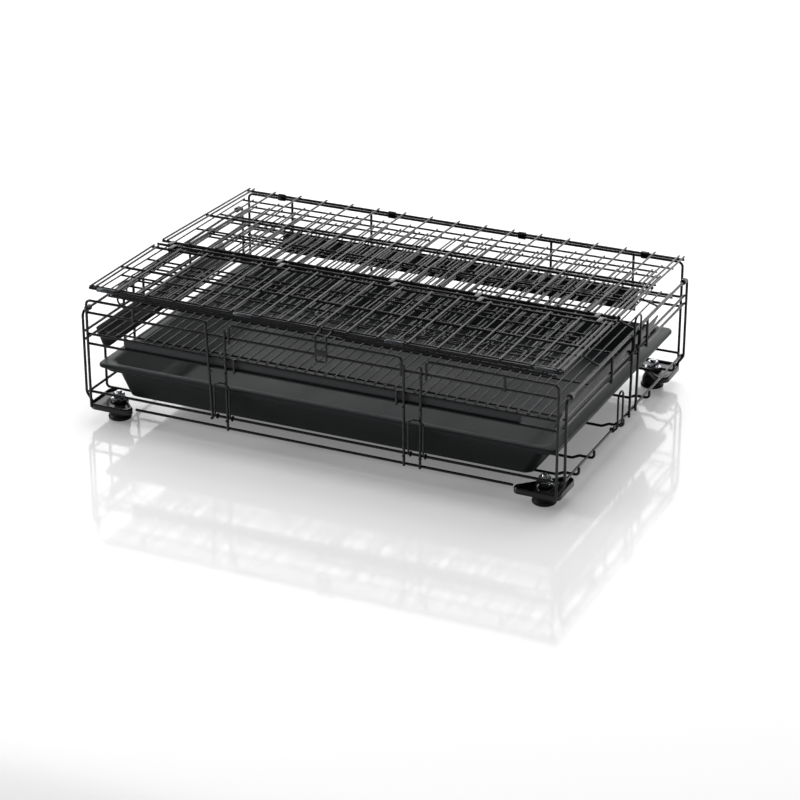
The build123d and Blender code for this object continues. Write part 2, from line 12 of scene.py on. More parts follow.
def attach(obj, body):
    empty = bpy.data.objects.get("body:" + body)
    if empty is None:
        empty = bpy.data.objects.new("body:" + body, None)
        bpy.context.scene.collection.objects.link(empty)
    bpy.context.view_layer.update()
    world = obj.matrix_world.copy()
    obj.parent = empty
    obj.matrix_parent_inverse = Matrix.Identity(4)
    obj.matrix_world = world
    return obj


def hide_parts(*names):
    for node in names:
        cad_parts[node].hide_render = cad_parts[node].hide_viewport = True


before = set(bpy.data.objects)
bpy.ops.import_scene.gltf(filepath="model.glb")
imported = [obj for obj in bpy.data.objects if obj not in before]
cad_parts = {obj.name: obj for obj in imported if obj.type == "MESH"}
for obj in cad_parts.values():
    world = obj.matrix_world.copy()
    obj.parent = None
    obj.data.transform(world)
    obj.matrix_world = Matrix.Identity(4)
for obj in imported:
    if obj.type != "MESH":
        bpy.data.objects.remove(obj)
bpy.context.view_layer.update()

LOG = logging.getLogger("pet_cage")
MM = 0.001
Point = tuple[float, float, float]
X_AXIS = Vector((1, 0, 0))
Y_AXIS = Vector((0, 1, 0))
Z_AXIS = Vector((0, 0, 1))

# Driving sizes in millimetres, the same as the construction model's
BAY = 38.1
BAYS = 16
FLOOR_PITCH = 12.7
HALF_L = BAY * BAYS / 2
HALF_D = 209.2
SIDE_X = 313.0
SIDE_Y = 205.0
FRAME_D = 3.3
LINK_D = 2.5
MESH_D = 2.0
WELD = 0.3
GAP = 0.3
RUN = 0.07
TOP_Z = 161.0
SECOND_Z = 143.7
SEAT_Z = 116.0
STRIP_Z = 103.3
LOW_Z = 40.0
TIE_Z = 26.5
SIDE_TOP_Z = 143.0
SIDE_UPPER_Z = 119.0
SIDE_MID_Z = 108.5
SIDE_LOW_Z = 38.5
CORNER_R = 9.0
EDGE_SECOND = 6.5
FOOT_X = 280.5
FOOT_Y = 183.0
PLATE_BOTTOM = 17.0
PLATE_TOP = 25.0
PLATE_LEG = 67.0
BOLT_R = 4.0
TRAY_BOTTOM_Z = 32.5
TRAY_RIM_Z = 75.0
LEAF_Z = TOP_Z + FRAME_D + GAP
FOLD_Y = -32.3
FOLD_Z = 172.0
LEAF_END_Y = -197.4
FOLD_GAP = 12.7
ROOF_X = 299.0
STACK_X = 289.0
STACK_BACK_Y = 185.0
STACK_FRONT_Y = -190.0
STACK_STEP = 4.35
STACK_SLOPE = 0.0171
STACK_CLEAR = 0.6
FRAME_R = FRAME_D / 2
LINK_R = LINK_D / 2
MESH_R = MESH_D / 2
INNER = HALF_D - FRAME_D + WELD
SIDE_INNER = SIDE_X - FRAME_D + WELD
FLOOR_Z = SEAT_Z + FRAME_R + MESH_R + GAP
CORNERS = {"front_left": (-1, -1), "front_right": (1, -1), "back_left": (-1, 1), "back_right": (1, 1)}
SIDES = {"left": -1, "right": 1}


class Body(Enum):
    """Bodies of the part that a piece can ride on."""

    BASE = "base"
    TRAY = "tray"
    FLOOR = "floor"
    BACK_LEAF = "back_leaf"
    TOP_LEAF = "top_leaf"
    LATCH = "latch"
    LEFT_CATCH = "left_catch"
    RIGHT_CATCH = "right_catch"
    SIDE_CATCH = "side_catch"
    RIGHT_HOOK = "right_hook"
    LEFT_HOOK = "left_hook"


def linear(code: str, alpha: float = 1.0) -> tuple[float, float, float, float]:
    """Turn an sRGB hex colour to linear values.

    Args:
        code: six hex digits.
        alpha: opacity to add.

    Returns:
        Linear red, green, blue and the alpha.
    """
    channels = []
    for start in (0, 2, 4):
        value = int(code[start:start + 2], 16) / 255
        channels.append(value / 12.92 if value <= 0.04045 else ((value + 0.055) / 1.055) ** 2.4)
    return (channels[0], channels[1], channels[2], alpha)


def add_node(tree: bpy.types.NodeTree, kind: str, settings: dict | None = None,
             inputs: dict | None = None) -> bpy.types.Node:
    """Add a node with its settings, values and links.

    Args:
        tree: node tree to add to.
        kind: node type name.
        settings: attributes of the node.
        inputs: socket key to a value or to an output socket that feeds it.

    Returns:
        The new node.
    """
    node = tree.nodes.new(kind)
    for key, value in (settings or {}).items():
        setattr(node, key, value)
    for key, value in (inputs or {}).items():
        if isinstance(value, bpy.types.NodeSocket):
            tree.links.new(value, node.inputs[key])
        else:
            node.inputs[key].default_value = value
    return node


def empty_tree(owner: bpy.types.Material | bpy.types.World) -> bpy.types.NodeTree:
    """Empty the shader tree of a material or a world.

    Args:
        owner: the material or the world.

    Returns:
        Its tree.
    """
    owner.use_nodes = True
    owner.node_tree.nodes.clear()
    return owner.node_tree


def ramp_colours(node: bpy.types.Node, low: tuple, high: tuple, start: float, end: float) -> None:
    """Set a colour ramp's two ends.

    Args:
        node: the ramp node.
        low: colour at the start.
        high: colour at the end.
        start: place of the first colour.
        end: place of the second colour.
    """
    elements = node.color_ramp.elements
    elements[0].position = start
    elements[0].color = low
    elements[1].position = end
    elements[1].color = high


@dataclass(frozen=True)
class Finish:
    """A surface finish, its colours and the real sizes of its patterns."""

    name: str
    dark: str
    light: str
    roughness: float
    rough_spread: float = 0.06
    grain_mm: float = 0.5
    grain_depth_mm: float = 0.01
    mottle_mm: float = 40.0
    metallic: float = 0.0
    coat: float = 0.0
    coat_roughness: float = 0.15
    ior: float = 1.5
    scratch: float = 0.0
    scratch_colour: str = "6a6c70"
    transmission: float = 0.0
    slot: str = "coated_wire"

    def build(self) -> bpy.types.Material:
        """Make the material of this finish.

        Returns:
            The new material.
        """
        material = bpy.data.materials.new(self.name)
        tree = empty_tree(material)
        place = add_node(tree, "ShaderNodeTexCoord").outputs["Object"]
        mottle = add_node(tree, "ShaderNodeTexNoise", {}, {
            "Vector": place, "Scale": 1000 / self.mottle_mm, "Detail": 3.0, "Roughness": 0.55})
        colour = add_node(tree, "ShaderNodeValToRGB", {}, {"Fac": mottle.outputs["Fac"]})
        ramp_colours(colour, linear(self.dark), linear(self.light), 0.3, 0.7)
        surface = colour.outputs["Color"]
        grain = add_node(tree, "ShaderNodeTexNoise", {}, {
            "Vector": place, "Scale": 1000 / self.grain_mm, "Detail": 2.0, "Roughness": 0.5})
        rough = add_node(tree, "ShaderNodeMapRange", {}, {
            "Value": mottle.outputs["Fac"], "From Min": 0.3, "From Max": 0.7,
            "To Min": self.roughness - self.rough_spread, "To Max": self.roughness + self.rough_spread})
        if self.scratch > 0:
            edge = add_node(tree, "ShaderNodeNewGeometry").outputs["Pointiness"]
            worn = add_node(tree, "ShaderNodeMapRange", {}, {
                "Value": edge, "From Min": 0.56, "From Max": 0.68, "To Min": 0.0, "To Max": self.scratch})
            broken = add_node(tree, "ShaderNodeMath", {"operation": "MULTIPLY"}, {
                0: worn.outputs["Result"], 1: grain.outputs["Fac"]})
            mix = add_node(tree, "ShaderNodeMix", {"data_type": "RGBA"}, {
                "Factor": broken.outputs["Value"], 6: surface, 7: linear(self.scratch_colour)})
            surface = mix.outputs[2]
        bump = add_node(tree, "ShaderNodeBump", {}, {
            "Height": grain.outputs["Fac"], "Strength": 0.35, "Distance": self.grain_depth_mm * MM})
        shader = add_node(tree, "ShaderNodeBsdfPrincipled", {}, {
            "Base Color": surface, "Roughness": rough.outputs["Result"], "Metallic": self.metallic,
            "Normal": bump.outputs["Normal"], "Coat Weight": self.coat, "Coat Roughness": self.coat_roughness,
            "Transmission Weight": self.transmission})
        if self.metallic < 0.5:
            shader.inputs["IOR"].default_value = self.ior
        add_node(tree, "ShaderNodeOutputMaterial", {}, {"Surface": shader.outputs["BSDF"]})
        return material


# Baked epoxy powder coating on mild steel wire: near black, narrow highlights, faint orange peel
COATED_WIRE = Finish("epoxy_coated_wire", "040404", "080808", 0.24, 0.05, 0.6, 0.015, 30.0, coat=0.15,
                     coat_roughness=0.08, ior=1.42, scratch=0.1)
# Flat steel with the same coating as the wire, painted a little greyer than the wire on all its faces as
# painted sheen of the light from above
STRIP_PAINTED_SHEEN = Finish("coated_steel_strip_painted_sheen", "24272a", "2d3033", 0.42, 0.05, 0.8, 0.02, 60.0,
                       slot="strip_paint")
# Injection-moulded polypropylene tray: dark blue-grey, satin, with a fine mould texture
TRAY_PLASTIC = Finish("moulded_tray_polypropylene", "1a2021", "23292a", 0.42, 0.06, 0.9, 0.03, 90.0,
                      ior=1.36, scratch=0.15, slot="tray_plastic")
# Injection-moulded polypropylene guard: black, a little glossier than the tray
GUARD_PLASTIC = Finish("moulded_guard_polypropylene", "0a0b0c", "111213", 0.33, 0.05, 0.9, 0.02, 70.0,
                       slot="guard_plastic")
# Glossy black ABS corner plate
PLATE_PLASTIC = Finish("moulded_corner_abs", "060607", "0b0b0d", 0.18, 0.05, 0.7, 0.01, 25.0, scratch=0.2,
                       slot="plate_plastic")
# Black vulcanised rubber foot: dull, with a slight bloom
FOOT_RUBBER = Finish("foot_rubber", "090909", "131312", 0.5, 0.1, 0.5, 0.03, 12.0, slot="foot_rubber")
# Bright zinc and chrome plated nut and bolt
NUT_PLATE = Finish("bright_plated_steel", "b9bcc2", "d2d4d8", 0.12, 0.05, 0.6, 0.01, 8.0, metallic=1.0,
                   slot="nut_chrome")
# Clear soft vinyl sleeve over the wire
SLEEVE_VINYL = Finish("clear_vinyl_sleeve", "3c4245", "50575a", 0.2, 0.04, 1.2, 0.02, 15.0, ior=1.45,
                      transmission=0.35, slot="sleeve_clear")


def circle(centre: Vector, side: Vector, up: Vector, radius: float, count: int,
           start: float = 0.0) -> list[Vector]:
    """Points of a circle.

    Args:
        centre: its middle.
        side: unit direction that the turn starts from.
        up: unit direction a quarter turn on.
        radius: its radius.
        count: number of points.
        start: turn of the first point, in steps.

    Returns:
        The points, in order.
    """
    points = []
    for k in range(count):
        angle = 2 * math.pi * (k + start) / count
        points.append(centre + side * (radius * math.cos(angle)) + up * (radius * math.sin(angle)))
    return points


class MeshBag:
    """Collects vertices and faces of one piece, in millimetres."""

    def __init__(self) -> None:
        """Start empty."""
        self.verts: list[Vector] = []
        self.faces: list[list[int]] = []

    def add(self, verts: list[Vector], faces: list[list[int]]) -> None:
        """Add a closed shape.

        Args:
            verts: its points.
            faces: its faces, as indices into verts.
        """
        base = len(self.verts)
        self.verts.extend(verts)
        self.faces.extend([[base + i for i in face] for face in faces])

    def add_rings(self, rings: list[list[Vector]], closed: bool = False) -> None:
        """Add a skin over rings of equal length.

        Args:
            rings: loops of points.
            closed: joins the last ring to the first, in place of end caps.
        """
        count = len(rings[0])
        faces = []
        last = len(rings) if closed else len(rings) - 1
        for r in range(last):
            a = r * count
            b = ((r + 1) % len(rings)) * count
            for i in range(count):
                j = (i + 1) % count
                faces.append([a + i, a + j, b + j, b + i])
        if not closed:
            faces.append(list(range(count))[::-1])
            faces.append([(len(rings) - 1) * count + i for i in range(count)])
        self.add([v for ring in rings for v in ring], faces)

    def wire(self, points: list[Point], diameter: float, bend: float = 0.0, sides: int = 12) -> None:
        """Add a round wire with bent corners and broken end edges.

        Args:
            points: corners of its centre line.
            diameter: thickness of the wire.
            bend: bend radius of the centre line at each corner.
            sides: number of faces round the wire.
        """
        path = rounded_path([Vector(p) for p in points], bend)
        self.add_rings(tube_rings(path, diameter / 2, sides))

    def eye(self, centre: Point, axis: Vector, bore: float, wire_r: float) -> None:
        """Add a ring of round wire.

        Args:
            centre: middle of the ring.
            axis: axis of the hole.
            bore: radius of the hole.
            wire_r: radius of the wire.
        """
        middle = Vector(centre)
        side = axis.orthogonal().normalized()
        rings = []
        for place in circle(middle, side, axis.cross(side), bore + wire_r, 24):
            rings.append(circle(place, (place - middle).normalized(), axis, wire_r, 10))
        self.add_rings(rings, closed=True)

    def lathe(self, profile: list[tuple[float, float]], centre: Point, axis: Vector = Z_AXIS,
              sides: int = 40) -> None:
        """Add a turned closed ring or solid.

        Args:
            profile: radius and height points. A solid one starts and ends on the axis.
            centre: place of height 0.
            axis: turning axis.
            sides: number of faces round it.
        """
        side = axis.orthogonal().normalized()
        up = axis.cross(side)
        solid = profile[0][0] == 0
        rows = profile[1:-1] if solid else profile
        rings = [circle(Vector(centre) + axis * height, side, up, r, sides) for r, height in rows]
        self.add_rings(rings, closed=not solid)

    def mesh(self, name: str, flat_angle: float = 40.0) -> bpy.types.Mesh:
        """Make the mesh in metres, with faces outward and hard edges kept.

        Args:
            name: mesh name.
            flat_angle: angle in degrees above which an edge stays sharp.

        Returns:
            The new mesh.
        """
        mesh = bpy.data.meshes.new(name)
        mesh.from_pydata([v * MM for v in self.verts], [], self.faces)
        work = bmesh.new()
        work.from_mesh(mesh)
        bmesh.ops.recalc_face_normals(work, faces=work.faces)
        for item in work.faces:
            item.smooth = True
        for item in work.edges:
            item.smooth = item.calc_face_angle(0.0) < math.radians(flat_angle)
        work.to_mesh(mesh)
        work.free()
        return mesh


def rounded_path(points: list[Vector], bend: float) -> list[Vector]:
    """Round the corners of a line.

    Args:
        points: its corners.
        bend: radius of each rounded corner.

    Returns:
        Points along the rounded line.
    """
    path = [points[0]]
    for before, corner, after in zip(points, points[1:], points[2:]):
        back = (before - corner).normalized()
        ahead = (after - corner).normalized()
        turn = math.pi - back.angle(ahead)
        reach = bend * math.tan(turn / 2)
        limit = 0.48 * min((before - corner).length, (after - corner).length)
        radius = bend * min(1.0, limit / reach) if reach > 0 else 0.0
        if radius <= 0 or turn < 0.01:
            path.append(corner)
            continue
        reach = radius * math.tan(turn / 2)
        centre = corner + (back + ahead).normalized() * (radius / math.cos(turn / 2))
        start = corner + back * reach - centre
        end = corner + ahead * reach - centre
        steps = max(2, round(turn / math.radians(15)))
        for s in range(steps + 1):
            t = s / steps
            mix = (start * math.sin((1 - t) * turn) + end * math.sin(t * turn)) / math.sin(turn)
            path.append(centre + mix)
    path.append(points[-1])
    return path


def tube_rings(path: list[Vector], radius: float, sides: int) -> list[list[Vector]]:
    """Rings of a round wire along a path, with a small chamfer at both ends.

    Args:
        path: points of the centre line.
        radius: radius of the wire.
        sides: points in a ring.

    Returns:
        The rings, in order.
    """
    tangents = []
    for i in range(len(path)):
        before = path[max(i - 1, 0)]
        after = path[min(i + 1, len(path) - 1)]
        tangents.append((after - before).normalized())
    side = tangents[0].orthogonal().normalized()
    rings = []
    chamfer = radius * 0.4
    end_radius = radius * 0.62
    last = len(path) - 1
    for i, (here, along) in enumerate(zip(path, tangents)):
        side = (side - along * side.dot(along)).normalized()
        up = along.cross(side)
        stations = [(here, radius)]
        if i == 0:
            stations = [(here, end_radius), (here + along * chamfer, radius)]
        if i == last:
            stations = [(here - along * chamfer, radius), (here, end_radius)]
        rings += [circle(middle, side, up, r, sides, 0.5) for middle, r in stations]
    return rings


class Workshop:
    """Makes pieces from meshes and keeps the materials."""

    def __init__(self) -> None:
        """Build the materials and the repeating tree."""
        finishes = (COATED_WIRE, STRIP_PAINTED_SHEEN, TRAY_PLASTIC, GUARD_PLASTIC, PLATE_PLASTIC, FOOT_RUBBER,
                    NUT_PLATE, SLEEVE_VINYL)
        self.materials = {finish: finish.build() for finish in finishes}
        self.repeat_tree = self.make_repeat_tree()

    def make_repeat_tree(self) -> bpy.types.NodeTree:
        """Geometry Nodes tree that sets one part at every vertex of its host.

        Returns:
            The tree. Its inputs are Places, Part, Turn Spread and Finish.
        """
        tree = bpy.data.node_groups.new("repeat_part", "GeometryNodeTree")
        face = tree.interface
        face.new_socket("Places", in_out="INPUT", socket_type="NodeSocketGeometry")
        face.new_socket("Part", in_out="INPUT", socket_type="NodeSocketObject")
        face.new_socket("Turn Spread", in_out="INPUT", socket_type="NodeSocketFloat")
        face.new_socket("Finish", in_out="INPUT", socket_type="NodeSocketMaterial")
        face.new_socket("Pieces", in_out="OUTPUT", socket_type="NodeSocketGeometry")
        given = add_node(tree, "NodeGroupInput")
        part = add_node(tree, "GeometryNodeObjectInfo", {}, {"Object": given.outputs["Part"]})
        low = add_node(tree, "ShaderNodeMath", {"operation": "MULTIPLY"}, {
            0: given.outputs["Turn Spread"], 1: -1.0})
        turn = add_node(tree, "FunctionNodeRandomValue", {"data_type": "FLOAT"}, {
            2: low.outputs["Value"], 3: given.outputs["Turn Spread"], "Seed": 7})
        spin = add_node(tree, "ShaderNodeCombineXYZ", {}, {"Z": turn.outputs[1]})
        copies = add_node(tree, "GeometryNodeInstanceOnPoints", {}, {
            "Points": given.outputs["Places"], "Instance": part.outputs["Geometry"],
            "Rotation": spin.outputs["Vector"]})
        solid = add_node(tree, "GeometryNodeRealizeInstances", {}, {"Geometry": copies.outputs["Instances"]})
        dressed = add_node(tree, "GeometryNodeSetMaterial", {}, {
            "Geometry": solid.outputs["Geometry"], "Material": given.outputs["Finish"]})
        add_node(tree, "NodeGroupOutput", {}, {"Pieces": dressed.outputs["Geometry"]})
        return tree

    def repeated(self, part: bpy.types.Mesh, places: list[Point], finish: Finish,
                 spread: float = 0.0) -> bpy.types.Mesh:
        """Set copies of one mesh at given places.

        Args:
            part: the mesh that repeats.
            places: where, in millimetres.
            finish: finish of the copies.
            spread: largest random turn about Z, in radians.

        Returns:
            One plain mesh of all copies.
        """
        sample = bpy.data.objects.new("sample", part)
        host_mesh = bpy.data.meshes.new("places")
        host_mesh.from_pydata([Vector(p) * MM for p in places], [], [])
        host = bpy.data.objects.new("host", host_mesh)
        for item in (sample, host):
            bpy.context.collection.objects.link(item)
        modifier = host.modifiers.new("repeat", "NODES")
        modifier.node_group = self.repeat_tree
        values = {"Part": sample, "Turn Spread": spread, "Finish": self.materials[finish]}
        for item in self.repeat_tree.interface.items_tree:
            if item.name in values:
                modifier[item.identifier] = values[item.name]
        bpy.context.view_layer.update()
        ready = host.evaluated_get(bpy.context.evaluated_depsgraph_get())
        mesh = bpy.data.meshes.new_from_object(ready)
        host.modifiers.remove(modifier)
        for item in (sample, host):
            bpy.data.objects.remove(item)
        return mesh

    def piece(self, name: str, meshes: list[bpy.types.Mesh], finish: Finish, body: Body,
              nodes: list[str]) -> bpy.types.Object:
        """Join meshes into a piece that rides on a body and stands for nodes.

        Args:
            name: piece name.
            meshes: its meshes, in metres.
            finish: its finish.
            body: the body it rides on.
            nodes: the nodes it stands for.

        Returns:
            The piece.
        """
        work = bmesh.new()
        for mesh in meshes:
            work.from_mesh(mesh)
        joined = bpy.data.meshes.new(name)
        work.to_mesh(joined)
        work.free()
        joined.materials.clear()
        joined.materials.append(self.materials[finish])
        for polygon in joined.polygons:
            polygon.material_index = 0
        item = bpy.data.objects.new(name, joined)
        bpy.context.collection.objects.link(item)
        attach(item, body.value)
        if nodes:
            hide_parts(*nodes)
        LOG.info("%s: %d faces on %s", name, len(joined.polygons), body.value)
        return item

    def wired(self, name: str, meshes: list[bpy.types.Mesh], body: Body, node: str) -> None:
        """Make a piece of coated wire that stands for one node."""
        self.piece(name, meshes, COATED_WIRE, body, [node])


def slope_z(y: float) -> float:
    """Height of the folded back wall's cross wires.

    Args:
        y: depth where it is wanted.

    Returns:
        The height of their middle.
    """
    if y < FOLD_Y:
        return FOLD_Z
    return LEAF_Z + (HALF_D - y) * (FOLD_Z - LEAF_Z) / (HALF_D - FOLD_Y)


def stack_z(y: float, level: int) -> float:
    """Height of a folded panel's long wires.

    Args:
        y: depth where it is wanted.
        level: the panel's place in the stack, 0 on top.

    Returns:
        The height of their middle.
    """
    top = slope_z(STACK_BACK_Y) - FRAME_R - STACK_CLEAR - MESH_R
    return top + (STACK_BACK_Y - y) * STACK_SLOPE - level * STACK_STEP


def bead(radius: float) -> bpy.types.Mesh:
    """Small flattened weld bead, of few faces.

    Args:
        radius: half width of the bead.

    Returns:
        Its mesh.
    """
    bag = MeshBag()
    rows = ((-0.55, 0.55), (0.0, 1.0), (0.55, 0.55))
    bag.add_rings([circle(Z_AXIS * height * radius, X_AXIS, Y_AXIS, r * radius, 6) for height, r in rows])
    return bag.mesh("bead", 80)


@dataclass
class BaseFrame:
    """Welded wire base: corner wires, rails, posts and the cross wires under the tray."""

    shop: Workshop
    sides_of_wire: int = 14
    rail_end: float = HALF_L + 1.4
    side_rail_end: float = SIDE_Y + 1.4
    corner_run: float = CORNER_R + 4
    corner_foot_z: float = 20.0
    side_foot: tuple = (HALF_L + 0.5, 26.5, 37.0)
    loop_bend: float = 5.0
    loop_drop: float = 6.0
    tie_past: float = 3.0
    short_tie_x: float = 240.0
    front_joins: tuple = (-142.0, -111.0, 112.0, 143.0)
    low_tie: tuple = (-244.0, 251.0)
    # Corners in X and Z of each long post
    left_posts: tuple = (((-148, TOP_Z), (-142, TOP_Z), (-135.5, 37)), ((-117, 155), (-115.4, 24.5)))
    right_posts: tuple = (((115, 152), (115.4, 24.5)), ((136.7, 154), (135.8, 24.5)))
    back_ties: tuple = (-240.0, -124.0, 129.0, 240.0)
    back_tie_foot: float = STRIP_Z - 4
    side_ties: tuple = (-60.0, 60.0)
    side_posts: dict = field(default_factory=lambda: {"left": (-112.0, -88.0), "right": (6.0, 28.0)})
    post_lean: float = 4.0
    rail_y: tuple = (-168.0, -119.0, -22.0, 69.0, 160.0)
    rail_bend: float = 4.5
    rail_dip_x: tuple = (289.0, 298.0)
    rail_tip: tuple = (316.0, 45.0)
    nub_xs: tuple = (-136.6, -116.2, 115.2, 136.4)
    nub_zs: tuple = (STRIP_Z - 4.0, LOW_Z - 2.5)
    nub_r: float = 2.3
    riser_past: float = 4.0

    def wires(self, name: str, runs: list[tuple[list[Point], float]], node: str) -> None:
        """Make one piece of several wires of the frame.

        Args:
            name: piece name.
            runs: points and bend radius of each wire.
            node: node that it stands for.
        """
        bag = MeshBag()
        for points, bend in runs:
            bag.wire(points, FRAME_D, bend, self.sides_of_wire)
        self.shop.wired(name, [bag.mesh(name)], Body.BASE, node)

    def corner_posts(self) -> None:
        """Two bent wires at each corner."""
        run = self.corner_run
        foot_x, foot_z, bend_z = self.side_foot
        for corner, (sx, sy) in CORNERS.items():
            x, y = sx * HALF_L, sy * HALF_D
            runs = [([(x, y, self.corner_foot_z), (x, y, TOP_Z), (x - sx * run, y, TOP_Z)], CORNER_R)]
            x, y = sx * SIDE_X, sy * SIDE_Y
            foot = sx * foot_x
            points = [(foot, y, self.corner_foot_z), (foot, y, foot_z), (x, y, bend_z), (x, y, SIDE_TOP_Z)]
            runs.append((points + [(x, y - sy * run, SIDE_TOP_Z)], CORNER_R))
            self.wires("wire_" + corner + "_corner", runs, corner + "_corner_post")

    def front(self) -> None:
        """Front rails and posts."""
        start = HALF_L - self.corner_run
        left, mid_left, mid_right, right = self.front_joins
        low = SECOND_Z - self.loop_drop
        end = self.rail_end
        past = self.tie_past
        bend = self.loop_bend

        def front_run(*points: tuple[float, float], bend: float = 0.0) -> tuple[list[Point], float]:
            """Wire in the front plane, from X and Z points."""
            return [(x, -HALF_D, z) for x, z in points], bend

        runs = [
            front_run((-start, TOP_Z), (left - self.loop_drop, TOP_Z)),
            front_run((mid_left, low), (mid_left, TOP_Z), (mid_right, TOP_Z), (mid_right, low), bend=bend),
            front_run((right, low), (right, TOP_Z), (start, TOP_Z), bend=bend),
        ]
        runs += [([(-end, -INNER, z), (end, -INNER, z)], 0) for z in (SECOND_Z, SEAT_Z, STRIP_Z)]
        runs += [front_run((x, SECOND_Z - 2), (x, TOP_Z)) for x in (-self.short_tie_x, self.short_tie_x)]
        runs += [front_run((x, STRIP_Z - past), (x, SEAT_Z + past))
                 for x in (mid_left + self.loop_drop, mid_right - self.loop_drop)]
        self.wires("wire_front_upper", runs, "front_upper_rails")
        tie_start, tie_end = self.low_tie
        runs = [([(-end, -INNER, LOW_Z), (end, -INNER, LOW_Z)], 0),
                ([(tie_start, -INNER, TIE_Z), (tie_end, -INNER, TIE_Z)], 0)]
        self.wires("wire_front_low", runs, "front_low_rails")
        for node, posts in (("front_left_posts", self.left_posts), ("front_right_posts", self.right_posts)):
            self.wires("wire_" + node, [front_run(*points, bend=bend) for points in posts], node)

    def back(self) -> None:
        """Back rails and posts."""
        start = HALF_L - self.corner_run
        end = self.rail_end
        foot = self.back_tie_foot
        runs = [([(-start, HALF_D, TOP_Z), (start, HALF_D, TOP_Z)], 0)]
        runs += [([(-end, INNER, z), (end, INNER, z)], 0) for z in (SEAT_Z, STRIP_Z)]
        runs += [([(x, HALF_D, foot), (x, HALF_D, TOP_Z)], 0) for x in self.back_ties]
        self.wires("wire_back_upper", runs, "back_upper_rails")
        self.wires("wire_back_low", [([(-end, INNER, LOW_Z), (end, INNER, LOW_Z)], 0)], "back_low_rail")
        for x, node in zip(self.back_ties[1:3], ("back_left_post", "back_right_post")):
            self.wires("wire_" + node, [([(x, HALF_D, LOW_Z - self.tie_past), (x, HALF_D, foot)], 0)], node)

    def sides(self) -> None:
        """Rails and posts of the short sides."""
        start = SIDE_Y - self.corner_run
        half = self.side_rail_end
        lean = self.post_lean
        for side, sx in SIDES.items():
            x = sx * SIDE_INNER
            outer = sx * SIDE_X
            runs = [([(outer, -start, SIDE_TOP_Z), (outer, start, SIDE_TOP_Z)], 0)]
            runs += [([(x, -half, z), (x, half, z)], 0) for z in (SIDE_UPPER_Z, SIDE_MID_Z)]
            runs += [([(outer, y, SIDE_MID_Z - self.tie_past), (outer, y, SIDE_TOP_Z)], 0)
                     for y in self.side_ties]
            self.wires("wire_" + side + "_upper", runs, side + "_upper_rails")
            runs = [([(x, -half, SIDE_LOW_Z), (x, half, SIDE_LOW_Z)], 0)]
            self.wires("wire_" + side + "_low", runs, side + "_low_rail")
            runs = [([(outer, y, SIDE_LOW_Z - lean), (outer, y + lean, SIDE_TOP_Z - lean)], 0)
                    for y in self.side_posts[side]]
            self.wires("wire_" + side + "_posts", runs, side + "_posts")

    def tray_rails(self) -> None:
        """Cross wires under the tray, hooked under the low side wires, the first with a riser at its left."""
        z = TRAY_BOTTOM_Z - FRAME_R
        under = SIDE_LOW_Z - FRAME_D
        riser = SIDE_INNER - FRAME_D
        flat_x, dip_x = self.rail_dip_x
        tip_x, tip_z = self.rail_tip
        hook = [(flat_x, z), (dip_x, under), (tip_x, under), (tip_x, tip_z)]
        for number, y in enumerate(self.rail_y, 1):
            left = [(-x, y, h) for x, h in reversed(hook)]
            if number == 1:
                left = [(-riser, y, SIDE_MID_Z + self.riser_past), (-riser, y, z)]
            points = left + [(x, y, h) for x, h in hook]
            name = "tray_rail_" + str(number)
            self.wires("wire_" + name, [(points, self.rail_bend)], name)

    def weld_nubs(self) -> None:
        """Blobs of weld where the long front posts cross the strip's wires."""
        places = [(x, -HALF_D - 1, z) for x in self.nub_xs for z in self.nub_zs]
        nubs = self.shop.repeated(bead(self.nub_r), places, COATED_WIRE, 0.5)
        self.shop.piece("weld_nubs", [nubs], COATED_WIRE, Body.BASE, [])

    def build(self) -> None:
        """Make all pieces of the base frame."""
        self.corner_posts()
        self.front()
        self.back()
        self.sides()
        self.tray_rails()
        self.weld_nubs()


